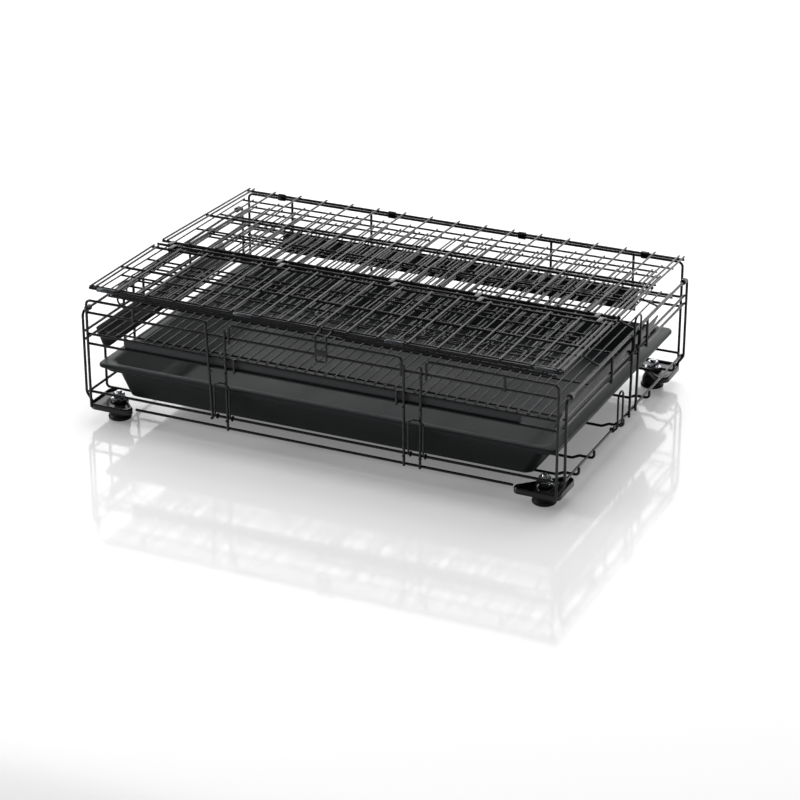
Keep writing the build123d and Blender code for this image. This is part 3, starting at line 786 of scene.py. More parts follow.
@dataclass
class WirePanels:
    """Wire meshes: floor grid, folded walls, doors and the two leaves of the back wall."""

    shop: Workshop
    sides_of_wire: int = 10
    past: float = 2.0
    weld_turn: float = 0.6
    floor_half_x: float = 298.0
    floor_end_y: float = 207.0
    floor_cross: tuple = (-196.0, -98.0, 0.0, 98.0, 196.0)
    roof_cross: tuple = (121.0, 58.0, -5.0, -68.0, -131.0)
    # Boxes and openings are low X, high X, low Y and high Y
    front_box: tuple = (-281.0, 281.0, -186.0, 176.0)
    front_cross: tuple = (130.0, -5.0, -85.0)
    front_opening: tuple = (-40.0, 190.0, -150.0, 60.0)
    front_door_cross: tuple = (-100.0, -45.0, 10.0)
    left_box: tuple = (-STACK_X, -24.0, -180.0, 170.0)
    left_cross: tuple = (120.0, 60.0, 0.0, -60.0, -120.0)
    right_box: tuple = (24.0, STACK_X, -180.0, 170.0)
    right_cross: tuple = (130.0, 0.0, -60.0)
    right_opening: tuple = (90.0, 250.0, -130.0, 90.0)
    side_door_cross: tuple = (-80.0, -25.0, 35.0)
    door_gap: float = 5.0
    door_bend: float = 14.0
    link_ys: tuple = (-105.0, 15.0, 95.0)
    leaf_middles: tuple = (94.7, -121.0)
    hinge_reach: float = 4.5
    edge_reach: float = 1.5
    edge_second: float = 6.0

    def wire_set(self, start: tuple, end: tuple, places: list[Point], diameter: float) -> bpy.types.Mesh:
        """Equal straight wires at several places.

        Args:
            start: one end of a wire, from its place.
            end: its other end.
            places: where the wires are.
            diameter: their thickness.

        Returns:
            One mesh of them all.
        """
        bag = MeshBag()
        bag.wire([start, end], diameter, 0, self.sides_of_wire)
        return self.shop.repeated(bag.mesh("wire"), places, COATED_WIRE)

    def long_set(self, xs: list[float], start: tuple, end: tuple, diameter: float) -> bpy.types.Mesh:
        """Wires along Y at several X, between two points in Y and Z."""
        return self.wire_set((0, *start), (0, *end), [(x, 0, 0) for x in xs], diameter)

    def cross_set(self, places: list[tuple], low: float, high: float, diameter: float) -> bpy.types.Mesh:
        """Wires along X from low to high, at several places in Y and Z."""
        return self.wire_set((low, 0, 0), (high, 0, 0), [(0, *place) for place in places], diameter)

    def beads(self, places: list[Point], radius: float) -> bpy.types.Mesh:
        """Weld beads where wires cross."""
        return self.shop.repeated(bead(radius), places, COATED_WIRE, self.weld_turn)

    def floor(self) -> None:
        """Floor grid of close thin wires over five cross wires."""
        half = self.floor_half_x
        end = self.floor_end_y
        count = int(half // FLOOR_PITCH)
        xs = [n * FLOOR_PITCH for n in range(-count, count + 1)]
        z = FLOOR_Z - MESH_R - LINK_R + WELD
        meshes = [
            self.long_set(xs, (-end, FLOOR_Z), (end, FLOOR_Z), MESH_D),
            self.cross_set([(y, z) for y in self.floor_cross], -half, half, LINK_D),
            self.beads([(x, y, FLOOR_Z - MESH_R) for x in xs for y in self.floor_cross], 1.25),
        ]
        self.shop.wired("floor_wires", meshes, Body.FLOOR, "floor_grid")

    def stack_panel(self, node: str, level: int, box: tuple, pitch: float, cross: tuple,
                    opening: tuple | None = None) -> None:
        """Folded wall, with an optional door opening.

        Args:
            node: node that it stands for.
            level: its place in the stack, 0 on top.
            box: low X, high X, low Y and high Y of its edge wires.
            pitch: spacing of its long wires.
            cross: Y of its cross wires.
            opening: the same four values of the door opening.
        """
        x_low, x_high, y_low, y_high = box
        past = self.past
        drop = MESH_R + LINK_R - WELD
        count = int((x_high - x_low - 6) // pitch)
        first = (x_low + x_high) / 2 - count * pitch / 2
        xs = [x_low, x_high] + [first + n * pitch for n in range(count + 1)]
        ys = list(cross) + [y_low, y_high]
        groups = [(xs, y_low - past, y_high + past)]
        rows = [(ys, x_low - past, x_high + past)]
        if opening:
            door_left, door_right, door_front, door_back = opening
            xs += [door_left, door_right]
            ys += [door_front, door_back]
            inner_x = [x for x in xs if door_left < x < door_right]
            inner_y = [y for y in ys if door_front < y < door_back]
            groups = [([x for x in xs if x not in inner_x], y_low - past, y_high + past),
                      (inner_x, y_low - past, door_front + past), (inner_x, door_back - past, y_high + past)]
            rows = [([y for y in ys if y not in inner_y], x_low - past, x_high + past),
                    (inner_y, x_low - past, door_left + past), (inner_y, door_right - past, x_high + past)]
        meshes = []
        crossings = set()
        for places, low, high in groups:
            ends = [(y, stack_z(y, level)) for y in (low, high)]
            meshes.append(self.long_set(places, *ends, MESH_D))
            crossings.update((x, y) for x in places for y in ys if low < y < high)
        for places, low, high in rows:
            meshes.append(self.cross_set([(y, stack_z(y, level) - drop) for y in places], low, high, LINK_D))
        welds = [(x, y, stack_z(y, level) - MESH_R) for x, y in sorted(crossings)]
        meshes.append(self.beads(welds, 1.2))
        self.shop.wired("wires_" + node, meshes, Body.BASE, node)

    def door(self, node: str, level: int, opening: tuple, pitch: float, cross: tuple) -> None:
        """Door in a wall's opening: a rounded frame with its own mesh.

        Args:
            node: node that it stands for.
            level: its wall's place in the stack.
            opening: low X, high X, low Y and high Y of the opening.
            pitch: spacing of its long wires.
            cross: Y of its cross wires.
        """
        gap = self.door_gap
        x_low, x_high, y_low, y_high = opening[0] + gap, opening[1] - gap, opening[2] + gap, opening[3] - gap
        drop = MESH_R + LINK_R - WELD
        middle = (x_low + x_high) / 2
        corners = [(middle, y_low), (x_high, y_low), (x_high, y_high), (x_low, y_high), (x_low, y_low),
                   (middle, y_low)]
        bag = MeshBag()
        bag.wire([(x, y, stack_z(y, level) - drop) for x, y in corners], LINK_D, self.door_bend, 12)
        count = int((x_high - x_low - 10) // pitch)
        first = middle - count * pitch / 2
        xs = [first + n * pitch for n in range(count + 1)]
        meshes = [
            bag.mesh("door_frame"),
            self.long_set(xs, (y_low, stack_z(y_low, level)), (y_high, stack_z(y_high, level)), MESH_D),
            self.cross_set([(y, stack_z(y, level) - drop) for y in cross], x_low, x_high, LINK_D),
        ]
        self.shop.wired("wires_" + node, meshes, Body.BASE, node)

    def folded_walls(self) -> None:
        """Roof panel, walls and doors lying under the lid."""
        wide = BAY / 2
        close = 2 * FLOOR_PITCH
        roof_box = (-ROOF_X, ROOF_X, STACK_FRONT_Y, STACK_BACK_Y)
        self.stack_panel("roof_panel", 0, roof_box, BAY, self.roof_cross)
        self.stack_panel("front_wall", 1, self.front_box, wide, self.front_cross, self.front_opening)
        self.door("front_door", 1, self.front_opening, wide, self.front_door_cross)
        self.stack_panel("left_wall", 2, self.left_box, close, self.left_cross)
        self.stack_panel("right_wall", 2, self.right_box, close, self.right_cross, self.right_opening)
        self.door("side_door", 2, self.right_opening, close, self.side_door_cross)

    def links(self) -> None:
        """Links that carry the folded side walls."""
        bag = MeshBag()
        low = SIDE_TOP_Z + FRAME_R + LINK_R - WELD
        for sx in SIDES.values():
            for y in self.link_ys:
                high = stack_z(y, 2) - MESH_R - LINK_R + WELD
                ends = [(sx * (STACK_X - 1), y, high), (sx * SIDE_X, y, low)]
                bag.wire(ends, LINK_D, 0, self.sides_of_wire)
        self.shop.wired("wires_side_links", [bag.mesh("links")], Body.BASE, "side_wall_links")

    def leaf(self, node: str, body: Body, y_low: float, y_high: float, cross: tuple) -> None:
        """One leaf of the back wall.

        Args:
            node: node that it stands for.
            body: body that it rides on.
            y_low: Y of its long wires' front ends.
            y_high: Y of their back ends.
            cross: Y of its cross wires.
        """
        rise = FRAME_R + LINK_R - WELD
        second = HALF_L - EDGE_SECOND
        xs = [-HALF_L, -second, second, HALF_L] + [BAY * n for n in range(1 - BAYS // 2, BAYS // 2)]
        reach = HALF_L + self.past
        meshes = [
            self.long_set(xs, (y_low, slope_z(y_low) + rise), (y_high, slope_z(y_high) + rise), LINK_D),
            self.cross_set([(y, slope_z(y)) for y in cross], -reach, reach, FRAME_D),
            self.beads([(x, y, slope_z(y) + FRAME_R) for x in xs for y in cross if y_low < y < y_high], 1.5),
        ]
        self.shop.wired("wires_" + node, meshes, body, node)

    def build(self) -> None:
        """Make every wire mesh."""
        self.floor()
        self.folded_walls()
        self.links()
        low_edge = FOLD_Y + FOLD_GAP
        high_edge = FOLD_Y - FOLD_GAP
        lower_middle, upper_middle = self.leaf_middles
        self.leaf("back_wall_lower", Body.BACK_LEAF, low_edge - self.past, HALF_D + self.hinge_reach,
                  (HALF_D, lower_middle, low_edge))
        self.leaf("back_wall_upper", Body.TOP_LEAF, LEAF_END_Y - self.edge_reach, high_edge + self.past,
                  (high_edge, upper_middle, LEAF_END_Y + self.edge_second, LEAF_END_Y))
        bag = MeshBag()
        reach = HALF_L + self.past
        bag.wire([(-reach, FOLD_Y, FOLD_Z), (reach, FOLD_Y, FOLD_Z)], FRAME_D, 0, 12)
        self.shop.wired("wire_fold_pin", [bag.mesh("fold_pin")], Body.BACK_LEAF, "fold_pin")


@dataclass
class Latches:
    """Bent wire latch, catches and hooks, with their eyes."""

    shop: Workshop
    clear: float = 0.6
    eye_wire: float = 0.9
    arch_bend: float = 7.5
    foot_rise: float = 4.0
    latch_span: tuple = (5.0, 19.0)
    latch_gap: float = 4.4
    catch_top: float = 87.0
    left_span: tuple = (-130.5, -110.5)
    right_span: tuple = (122.5, 141.5)
    # Y span of the legs, height of the wire that it turns on, height of the top
    tray_catch: tuple = ((-44.0, -27.5), SIDE_LOW_Z, 86.0)
    right_hook: tuple = ((5.0, 26.0), SIDE_UPPER_Z, 164.0)
    left_hook: tuple = ((-117.5, -95.0), SIDE_UPPER_Z, 143.0)

    def front_latch(self) -> None:
        """Latch hanging from the lid's front edge."""
        y = -HALF_D - self.latch_gap
        left, right = self.latch_span
        out = LEAF_END_Y - FRAME_R - 1.2
        low = SECOND_Z - 5
        bag = MeshBag()
        bag.wire([(left, out, FOLD_Z), (left, y, FOLD_Z - 2), (left, y, low), (right, y, low),
                  (right, y, FOLD_Z - 2), (right, out, FOLD_Z)], LINK_D, 3.2, 12)
        for x in (left, right):
            bag.eye((x, LEAF_END_Y, FOLD_Z), X_AXIS, FRAME_R + RUN, self.eye_wire)
        tongue = pressed_plate(((left + right) / 2, y, SECOND_Z + 6), (right - left, 1.6, 8))
        self.shop.wired("latch_front", [bag.mesh("latch_wire"), tongue], Body.LATCH, "front_latch")

    def arch(self, node: str, body: Body, feet: list[Point], tops: list[Point], pins: list[Point],
             axis: Vector) -> None:
        """Arch of wire with an eye at each foot.

        Args:
            node: node that it stands for.
            body: body that it rides on.
            feet: its two ends, beside the eyes.
            tops: its two upper corners.
            pins: middles of the two eyes.
            axis: axis of the eyes.
        """
        bag = MeshBag()
        rise = feet[0][2] + self.foot_rise
        knees = [(*top[:2], rise) for top in tops]
        bag.wire([feet[0], knees[0], *tops, knees[1], feet[1]], LINK_D, self.arch_bend, 12)
        for pin in pins:
            bag.eye(pin, axis, FRAME_R + RUN, self.eye_wire)
        self.shop.wired("arch_" + node, [bag.mesh(node)], body, node)

    def front_catch(self, node: str, body: Body, span: tuple[float, float]) -> None:
        """Arch on the low front wire.

        Args:
            node: node that it stands for.
            body: body that it rides on.
            span: X of its two legs.
        """
        y = -HALF_D - FRAME_R - LINK_R - self.clear
        out = -INNER - FRAME_R - 1.1
        self.arch(node, body, [(x, out, LOW_Z) for x in span], [(x, y, self.catch_top) for x in span],
                  [(x, -INNER, LOW_Z) for x in span], X_AXIS)

    def side_arch(self, node: str, body: Body, sx: int, span: tuple[float, float], pin_z: float,
                  top_z: float) -> None:
        """Arch on a wire of a short side.

        Args:
            node: node that it stands for.
            body: body that it rides on.
            sx: 1 on the right, -1 on the left.
            span: Y of its two legs.
            pin_z: height of the wire that it turns on.
            top_z: height of its top.
        """
        x = sx * (SIDE_X + FRAME_R + LINK_R + self.clear)
        out = sx * (SIDE_INNER + FRAME_R + 1.1)
        self.arch(node, body, [(out, y, pin_z) for y in span], [(x, y, top_z) for y in span],
                  [(sx * SIDE_INNER, y, pin_z) for y in span], Y_AXIS)

    def build(self) -> None:
        """Make every latch, catch and hook."""
        self.front_latch()
        self.front_catch("front_left_catch", Body.LEFT_CATCH, self.left_span)
        self.front_catch("front_right_catch", Body.RIGHT_CATCH, self.right_span)
        self.side_arch("right_tray_catch", Body.SIDE_CATCH, 1, *self.tray_catch)
        self.side_arch("right_wall_hook", Body.RIGHT_HOOK, 1, *self.right_hook)
        self.side_arch("left_wall_hook", Body.LEFT_HOOK, -1, *self.left_hook)


def pressed_plate(centre: Point, size: Point) -> bpy.types.Mesh:
    """Small plate with rounded edges.

    Args:
        centre: its middle.
        size: its sizes along X, Y and Z.

    Returns:
        Its mesh, in metres.
    """
    work = bmesh.new()
    bmesh.ops.create_cube(work, size=1.0)
    bmesh.ops.scale(work, vec=Vector(size) * MM, verts=work.verts)
    bmesh.ops.bevel(work, geom=list(work.edges), offset=0.3 * min(size) * MM, segments=3, affect="EDGES",
                    profile=0.5)
    bmesh.ops.translate(work, vec=Vector(centre) * MM, verts=work.verts)
    mesh = bpy.data.meshes.new("plate")
    for item in work.faces:
        item.smooth = True
    work.to_mesh(mesh)
    work.free()
    return mesh


def rounded_rectangle(half_x: float, half_y: float, radius: float, z: float) -> list[Vector]:
    """Points round a rounded rectangle.

    Args:
        half_x: half its length.
        half_y: half its depth.
        radius: corner radius.
        z: height.

    Returns:
        The loop of points.
    """
    steps = 14
    ring = []
    for quarter, (sx, sy) in enumerate(((1, 1), (-1, 1), (-1, -1), (1, -1))):
        for s in range(steps + 1):
            angle = math.pi / 2 * (quarter + s / steps)
            ring.append(Vector((sx * (half_x - radius) + radius * math.cos(angle),
                                sy * (half_y - radius) + radius * math.sin(angle), z)))
    return ring


@dataclass
class TrayAndGuards:
    """Waste tray with a double lip, and the slanted splash guards round it."""

    shop: Workshop
    tray_wall: float = 2.0
    guard_wall: float = 1.5
    guard_edge: float = 0.3
    guard_foot_z: float = 92.0
    # Distance out of the lower and the upper edge, and the top's height
    side_guard: tuple = (292.0, 303.0, 120.0)
    side_guard_span: tuple = (-192.0, 128.0)
    back_guard: tuple = (194.0, 204.0, 116.3)
    back_guard_half: float = 250.0

    def tray(self) -> None:
        """Tapered tray with a rolled double lip and a stepped floor."""
        rim = TRAY_RIM_Z
        low = TRAY_BOTTOM_Z
        floor = low + self.tray_wall
        # Half length, half depth, corner radius and height
        outside = [
            (254.0, 175.0, 6.0, low), (262.6, 183.6, 9.4, low + 0.2), (265.2, 186.0, 10.6, low + 1.8),
            (266.4, 187.0, 11.0, low + 4.6), (280.6, 188.8, 12.4, rim - 10), (291.6, 193.6, 10.4, rim - 9.9),
            (293.0, 195.0, 11.0, rim - 8.9), (293.0, 195.0, 11.0, rim - 5.4), (293.6, 195.6, 10.0, rim - 5),
            (298.8, 198.8, 8.4, rim - 4.9), (300.0, 200.0, 9.0, rim - 4), (300.0, 200.0, 9.0, rim - 1.4),
            (299.3, 199.3, 8.6, rim - 0.3)]
        inside = [
            (298.0, 198.0, 8.2, rim), (288.0, 191.6, 12.2, rim), (285.6, 189.6, 12.0, rim - 0.6),
            (284.2, 188.2, 11.4, rim - 2.6), (262.0, 183.6, 14.2, floor + 4.4),
            (260.0, 182.0, 13.4, floor + 1.6), (256.0, 178.0, 11.5, floor + 0.2), (248.0, 170.0, 8.0, floor),
            (236.0, 158.0, 6.0, floor), (235.0, 157.0, 5.6, floor + 0.7), (226.0, 148.0, 4.0, floor + 0.8)]
        bag = MeshBag()
        bag.add_rings([rounded_rectangle(*station) for station in outside + inside])
        self.shop.piece("tray_shell", [bag.mesh("tray", 50)], TRAY_PLASTIC, Body.TRAY, ["waste_tray"])

    def section(self, foot: float, top: float, top_z: float) -> list[tuple[float, float]]:
        """Section of a guard, with a rolled lower lip and a rounded top.

        Args:
            foot: how far out its lower edge is.
            top: how far out its upper edge is.
            top_z: height of its upper edge.

        Returns:
            Points, as distance out and height.
        """
        wall = self.guard_wall
        edge = self.guard_edge
        low = self.guard_foot_z
        return [(foot + edge, low), (foot + wall - edge, low), (foot + wall, low + edge),
                (foot + wall, low + 3), (top, top_z - 2), (top, top_z - 0.4), (top - 0.4, top_z),
                (top - wall + 0.4, top_z), (top - wall, top_z - 0.4), (foot, low + 3.6), (foot, low + edge)]

    def guard(self, side: str, rings: list[list[Vector]]) -> None:
        """One guard.

        Args:
            side: which one, for its names.
            rings: its two end outlines.
        """
        bag = MeshBag()
        bag.add_rings(rings)
        self.shop.piece("guard_" + side, [bag.mesh("guard", 30)], GUARD_PLASTIC, Body.BASE, [side + "_guard"])

    def build(self) -> None:
        """Make the tray and the guards."""
        self.tray()
        profile = self.section(*self.side_guard)
        for side, sx in SIDES.items():
            self.guard(side, [[Vector((sx * u, y, v)) for u, v in profile] for y in self.side_guard_span])
        profile = self.section(*self.back_guard)
        half = self.back_guard_half
        self.guard("back", [[Vector((x, u, v)) for u, v in profile] for x in (-half, half)])


@dataclass
class Feet:
    """Corner plates, rubber feet, bolts and flanged nuts."""

    shop: Workshop
    grip_ribs: int = 24
    boss_r: float = 11.5
    nut_r: float = 7.2
    nut_turn: float = 0.3
    thread_pitch: float = 1.0
    bolt_reach: float = 10.0

    def rubber(self, corner: str, centre: Point) -> None:
        """One rubber foot with a lip and grip ribs.

        Args:
            corner: which foot.
            centre: its place on the floor.
        """
        bag = MeshBag()
        bag.lathe([(0, 0), (10.5, 0.0), (13.0, 0.2), (14.1, 0.9), (14.5, 1.8), (14.5, 3.6), (14.0, 4.6),
                   (12.9, 5.6), (12.3, 6.8), (11.8, 12.5), (11.2, 14.6), (10.5, PLATE_BOTTOM - 0.4),
                   (10.0, PLATE_BOTTOM), (0, PLATE_BOTTOM)], centre, sides=48)
        rib = MeshBag()
        rib.wire([(12.35, 0, 7.0), (11.75, 0, 13.5)], 1.1, 0, 6)
        meshes = [bag.mesh("foot", 50)]
        base = rib.mesh("rib")
        for k in range(self.grip_ribs):
            copy = base.copy()
            copy.transform(Matrix.Translation(Vector(centre) * MM)
                           @ Matrix.Rotation(2 * math.pi * k / self.grip_ribs, 4, "Z"))
            meshes.append(copy)
        self.shop.piece("rubber_" + corner + "_foot", meshes, FOOT_RUBBER, Body.BASE, [corner + "_foot"])

    def plate_loop(self, corner: str, inset: float, z: float, radius: float) -> list[Vector]:
        """Outline of a corner plate, drawn in by an inset.

        Args:
            corner: which plate.
            inset: how far it is drawn in.
            z: its height.
            radius: its corner radius.

        Returns:
            The loop of points.
        """
        sx, sy = CORNERS[corner]
        x, y = sx * (HALF_L + 4), sy * (HALF_D + 0.8)
        reach = PLATE_LEG - inset * (1 + math.sqrt(2))
        tip = Vector((x - sx * inset, y - sy * inset, z))
        along_x = Vector((x - sx * reach, tip.y, z))
        along_y = Vector((tip.x, y - sy * reach, z))
        middle = (tip + along_x) / 2
        return rounded_path([middle, along_x, along_y, tip, middle], radius)[:-1]

    def plate(self, corner: str, centre: Point) -> None:
        """Triangular plate with a raised rim and a boss.

        Args:
            corner: which plate.
            centre: place of its foot on the floor.
        """
        low, top = PLATE_BOTTOM, PLATE_TOP
        # Inset, height and corner radius
        rows = [(1.2, low, 8.0), (0.3, low + 0.5, 8.8), (0.0, low + 1.4, 9.0), (0.0, top - 1.0, 9.0),
                (0.4, top - 0.2, 8.7), (1.0, top, 8.2), (1.8, top, 7.6), (2.3, top - 0.3, 7.2),
                (2.6, top - 2.5, 7.0), (4.0, top - 2.5, 6.0)]
        rings = [self.plate_loop(corner, *row) for row in rows]
        count = min(len(ring) for ring in rings)
        bag = MeshBag()
        bag.add_rings([ring[:count] for ring in rings])
        boss = self.boss_r
        bag.lathe([(BOLT_R, top - 3.2), (boss, top - 3.2), (boss, top - 0.8), (boss - 0.7, top),
                   (BOLT_R, top)], centre)
        self.shop.piece("moulded_" + corner + "_plate", [bag.mesh("plate", 35)], PLATE_PLASTIC, Body.BASE,
                        [corner + "_corner_plate"])

    def nut(self, bag: MeshBag, centre: Point) -> None:
        """Flanged hexagon nut.

        Args:
            bag: where its faces go.
            centre: place of its foot on the floor.
        """
        top = PLATE_TOP
        bag.lathe([(BOLT_R, top), (9.6, top), (10.0, top + 0.4), (9.9, top + 1.2), (7.9, top + 2.2),
                   (BOLT_R, top + 2.2)], centre, sides=44)
        size = self.nut_r
        rows = ((size - 0.1, top + 1.9), (size, top + 2.4), (size, top + 8.0), (size - 0.8, top + 8.9))
        start = self.nut_turn * 3 / math.pi
        bag.add_rings([circle(Vector(centre) + Z_AXIS * z, X_AXIS, Y_AXIS, r, 6, start) for r, z in rows])

    def bolt(self, bag: MeshBag, centre: Point) -> None:
        """Threaded end of a bolt.

        Args:
            bag: where its faces go.
            centre: place of its foot on the floor.
        """
        low, end = PLATE_TOP - self.bolt_reach, PLATE_TOP + self.bolt_reach
        profile = [(0, low)]
        for turn in range(round((end - low) / self.thread_pitch)):
            z = low + turn * self.thread_pitch
            profile += [(3.55, z), (3.95, z + self.thread_pitch / 2)]
        profile += [(3.2, end + 0.8), (2.6, end + 1.0), (0, end + 1.0)]
        bag.lathe(profile, centre, sides=28)

    def build(self) -> None:
        """Make all feet."""
        nuts = MeshBag()
        bolts = MeshBag()
        for corner, (sx, sy) in CORNERS.items():
            centre = (sx * FOOT_X, sy * FOOT_Y, 0)
            self.rubber(corner, centre)
            self.plate(corner, centre)
            self.nut(nuts, centre)
            self.bolt(bolts, centre)
        self.shop.piece("plated_foot_nuts", [nuts.mesh("nuts", 25)], NUT_PLATE, Body.BASE, ["foot_nuts"])
        self.shop.piece("plated_foot_bolts", [bolts.mesh("bolts", 35)], NUT_PLATE, Body.BASE, ["foot_bolts"])


@dataclass
class ClipsAndSleeves:
    """Hinge clips, fold clips and edge sleeves."""

    shop: Workshop
    hinge_xs: tuple = (-255.0, -94.0, 89.0, 255.0)
    # Width, and how far the sheet stands off the wires
    hinge_clip: tuple = (10.0, 1.3)
    fold_xs: tuple = (-285.0, -133.0, 20.0, 133.0, 285.0)
    fold_clip: tuple = (6.0, 0.9)
    fold_shift: float = 4.0
    sleeve_spans: tuple = ((-295.0, -271.0), (-110.0, -86.0), (86.0, 110.0), (271.0, 295.0))
    sleeve_wall: float = 0.75

    def wrap(self, x: float, low: tuple[float, float], high: tuple[float, float],
             size: tuple[float, float]) -> bpy.types.Mesh:
        """Pressed sheet wrapped round two parallel wires along X.

        Args:
            x: middle in X.
            low: Y and Z of the first wire.
            high: Y and Z of the second wire.
            size: width along X, and how far the sheet stands off the wires' surface.

        Returns:
            Its mesh.
        """
        width, wall = size
        a = Vector((0, *low))
        b = Vector((0, *high))
        along = (b - a).normalized()
        side = X_AXIS.cross(along)
        half_turn = 12
        outline = []
        for centre, sign in ((b, 1), (a, -1)):
            ring = circle(centre, side * sign, along * sign, FRAME_R + wall, 2 * half_turn)
            outline += ring[:half_turn + 1]
        middle = (a + b) / 2
        half = width / 2
        rings = []
        for offset, shrink in ((-half, 0.9), (0.5 - half, 1.0), (half - 0.5, 1.0), (half, 0.9)):
            rings.append([middle + (p - middle) * shrink + X_AXIS * (x + offset) for p in outline])
        bag = MeshBag()
        bag.add_rings(rings)
        return bag.mesh("clip", 35)

    def sleeves(self) -> None:
        """Clear sleeves on the lid's front edge."""
        bag = MeshBag()
        inner, outer = FRAME_R + 0.02, FRAME_R + self.sleeve_wall
        for start, end in self.sleeve_spans:
            length = end - start
            profile = [(inner, 0), (outer - 0.2, 0), (outer, 0.3), (outer, length - 0.3),
                       (outer - 0.2, length), (inner, length)]
            bag.lathe(profile, (start, LEAF_END_Y, FOLD_Z), X_AXIS, 20)
        self.shop.piece("vinyl_edge_sleeves", [bag.mesh("sleeves")], SLEEVE_VINYL, Body.TOP_LEAF,
                        ["edge_sleeves"])

    def build(self) -> None:
        """Make all clips and sleeves."""
        meshes = [self.wrap(x, (HALF_D, TOP_Z), (HALF_D, LEAF_Z), self.hinge_clip) for x in self.hinge_xs]
        self.shop.wired("pressed_hinge_clips", meshes, Body.BACK_LEAF, "hinge_clips")
        pin = (FOLD_Y, FOLD_Z)
        low, high = FOLD_Y + FOLD_GAP, FOLD_Y - FOLD_GAP
        clip = self.fold_clip
        meshes = [self.wrap(x - self.fold_shift, (low, slope_z(low)), pin, clip) for x in self.fold_xs]
        self.shop.wired("pressed_lower_fold_clips", meshes, Body.BACK_LEAF, "lower_fold_clips")
        meshes = [self.wrap(x + self.fold_shift, pin, (high, FOLD_Z), clip) for x in self.fold_xs]
        self.shop.wired("pressed_upper_fold_clips", meshes, Body.TOP_LEAF, "upper_fold_clips")
        self.sleeves()


def dress_kept_nodes(shop: Workshop) -> None:
    """Give the construction nodes that stay their finish.

    Args:
        shop: the workshop with the materials.
    """
    # The front strip takes the finish whose greyer colour is painted sheen of the light from above
    kept = {"front_strip": STRIP_PAINTED_SHEEN, "corner_clips": COATED_WIRE}
    for node, finish in kept.items():
        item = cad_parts[node]
        for place in item.material_slots:
            place.material = shop.materials[finish]


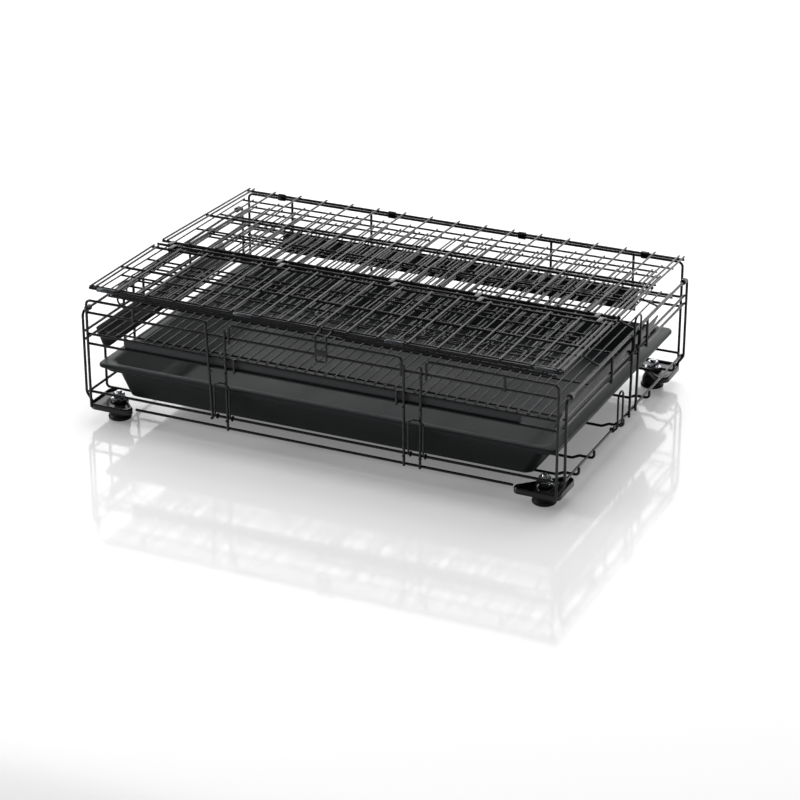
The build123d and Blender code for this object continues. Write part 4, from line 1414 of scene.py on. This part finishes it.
@dataclass
class Studio:
    """Floor, backdrop light, lamps and camera."""

    floor_half: float = 8.0
    floor_lift: float = 0.18
    card_light: float = 1.8
    card_ends: tuple = ((-5.5, 3.2), (3.5, 3.6))
    card_low: float = 0.01
    card_high: float = 3.2
    aim_height: float = 0.08
    surround: float = 0.15
    camera_place: Point = (1.2405, -2.6583, 1.3154)
    camera_turn: Point = (65.87, 0.0, 24.77)
    lens_mm: float = 115.97
    sensor_mm: float = 36.0
    # Place in metres, edge length in metres, watts
    top_lamp: tuple = ((0.1, 0.5, 2.2), 1.5, 30.0)
    left_lamp: tuple = ((-2.0, -0.9, 1.2), 0.9, 21.0)

    def card(self, name: str, corners: list[Point], material: bpy.types.Material) -> None:
        """Flat staged card.

        Args:
            name: its name.
            corners: its corners in order, in metres.
            material: its material.
        """
        mesh = bpy.data.meshes.new(name)
        mesh.from_pydata(corners, [], [tuple(range(len(corners)))])
        mesh.materials.append(material)
        item = bpy.data.objects.new(name, mesh)
        bpy.context.collection.objects.link(item)

    def floor(self) -> None:
        """Glossy white floor that keeps the shadow and a soft reflection, lifted to white for the camera."""
        material = bpy.data.materials.new("white_acrylic_floor")
        tree = empty_tree(material)
        shader = add_node(tree, "ShaderNodeBsdfPrincipled", {}, {
            "Base Color": linear("f4f4f4"), "Roughness": 0.08, "IOR": 1.75})
        rays = add_node(tree, "ShaderNodeLightPath")
        lift = add_node(tree, "ShaderNodeMath", {"operation": "MULTIPLY"}, {
            0: rays.outputs["Is Camera Ray"], 1: self.floor_lift})
        glow = add_node(tree, "ShaderNodeEmission", {}, {"Strength": lift.outputs["Value"]})
        both = add_node(tree, "ShaderNodeAddShader", {}, {
            0: shader.outputs["BSDF"], 1: glow.outputs["Emission"]})
        add_node(tree, "ShaderNodeOutputMaterial", {}, {"Surface": both.outputs["Shader"]})
        h = self.floor_half
        self.card("studio_floor", [(-h, -h, 0), (h, -h, 0), (h, h, 0), (-h, h, 0)], material)

    def backdrop(self) -> None:
        """White lit card far behind the cage, which the floor mirrors."""
        material = bpy.data.materials.new("backdrop_paper")
        tree = empty_tree(material)
        glow = add_node(tree, "ShaderNodeEmission", {}, {
            "Color": linear("ffffff"), "Strength": self.card_light})
        add_node(tree, "ShaderNodeOutputMaterial", {}, {"Surface": glow.outputs["Emission"]})
        low, high = self.card_low, self.card_high
        corners = [(x, y, low) for x, y in self.card_ends] + [(x, y, high) for x, y in self.card_ends[::-1]]
        self.card("studio_backdrop", corners, material)

    def world(self) -> None:
        """Dim surround, white where the camera sees it."""
        world = bpy.data.worlds.new("studio")
        tree = empty_tree(world)
        rays = add_node(tree, "ShaderNodeLightPath")
        strength = add_node(tree, "ShaderNodeMapRange", {}, {
            "Value": rays.outputs["Is Camera Ray"], "To Min": self.surround, "To Max": 1.0})
        back = add_node(tree, "ShaderNodeBackground", {}, {
            "Color": linear("ffffff"), "Strength": strength.outputs["Result"]})
        add_node(tree, "ShaderNodeOutputWorld", {}, {"Surface": back.outputs["Background"]})
        bpy.context.scene.world = world

    def lamp(self, name: str, place: Point, size: float, power: float) -> None:
        """Square soft lamp aimed at the cage.

        Args:
            name: lamp name.
            place: where it hangs, in metres.
            size: edge length in metres.
            power: watts.
        """
        data = bpy.data.lights.new(name, "AREA")
        data.size = size
        data.energy = power
        item = bpy.data.objects.new(name, data)
        item.location = place
        item.rotation_euler = (Z_AXIS * self.aim_height - Vector(place)).to_track_quat("-Z", "Y").to_euler()
        bpy.context.collection.objects.link(item)

    def camera(self) -> None:
        """Camera at the photo's viewing angle."""
        data = bpy.data.cameras.new("camera")
        data.sensor_width = self.sensor_mm
        data.lens = self.lens_mm
        item = bpy.data.objects.new("camera", data)
        item.location = self.camera_place
        item.rotation_euler = [math.radians(a) for a in self.camera_turn]
        bpy.context.collection.objects.link(item)
        bpy.context.scene.camera = item

    def build(self) -> None:
        """Set up the whole studio."""
        self.camera()
        self.floor()
        self.backdrop()
        self.world()
        self.lamp("top_softbox", *self.top_lamp)
        self.lamp("left_softbox", *self.left_lamp)
        bpy.context.scene.view_settings.view_transform = "Standard"


def main() -> None:
    """Build the studio and every sub-assembly in order."""
    logging.basicConfig(level=logging.INFO, format="%(message)s")
    Studio().build()
    shop = Workshop()
    for assembly in (BaseFrame(shop), WirePanels(shop), TrayAndGuards(shop), Feet(shop), Latches(shop),
                     ClipsAndSleeves(shop)):
        assembly.build()
    dress_kept_nodes(shop)


if __name__ == "__main__":
    main()
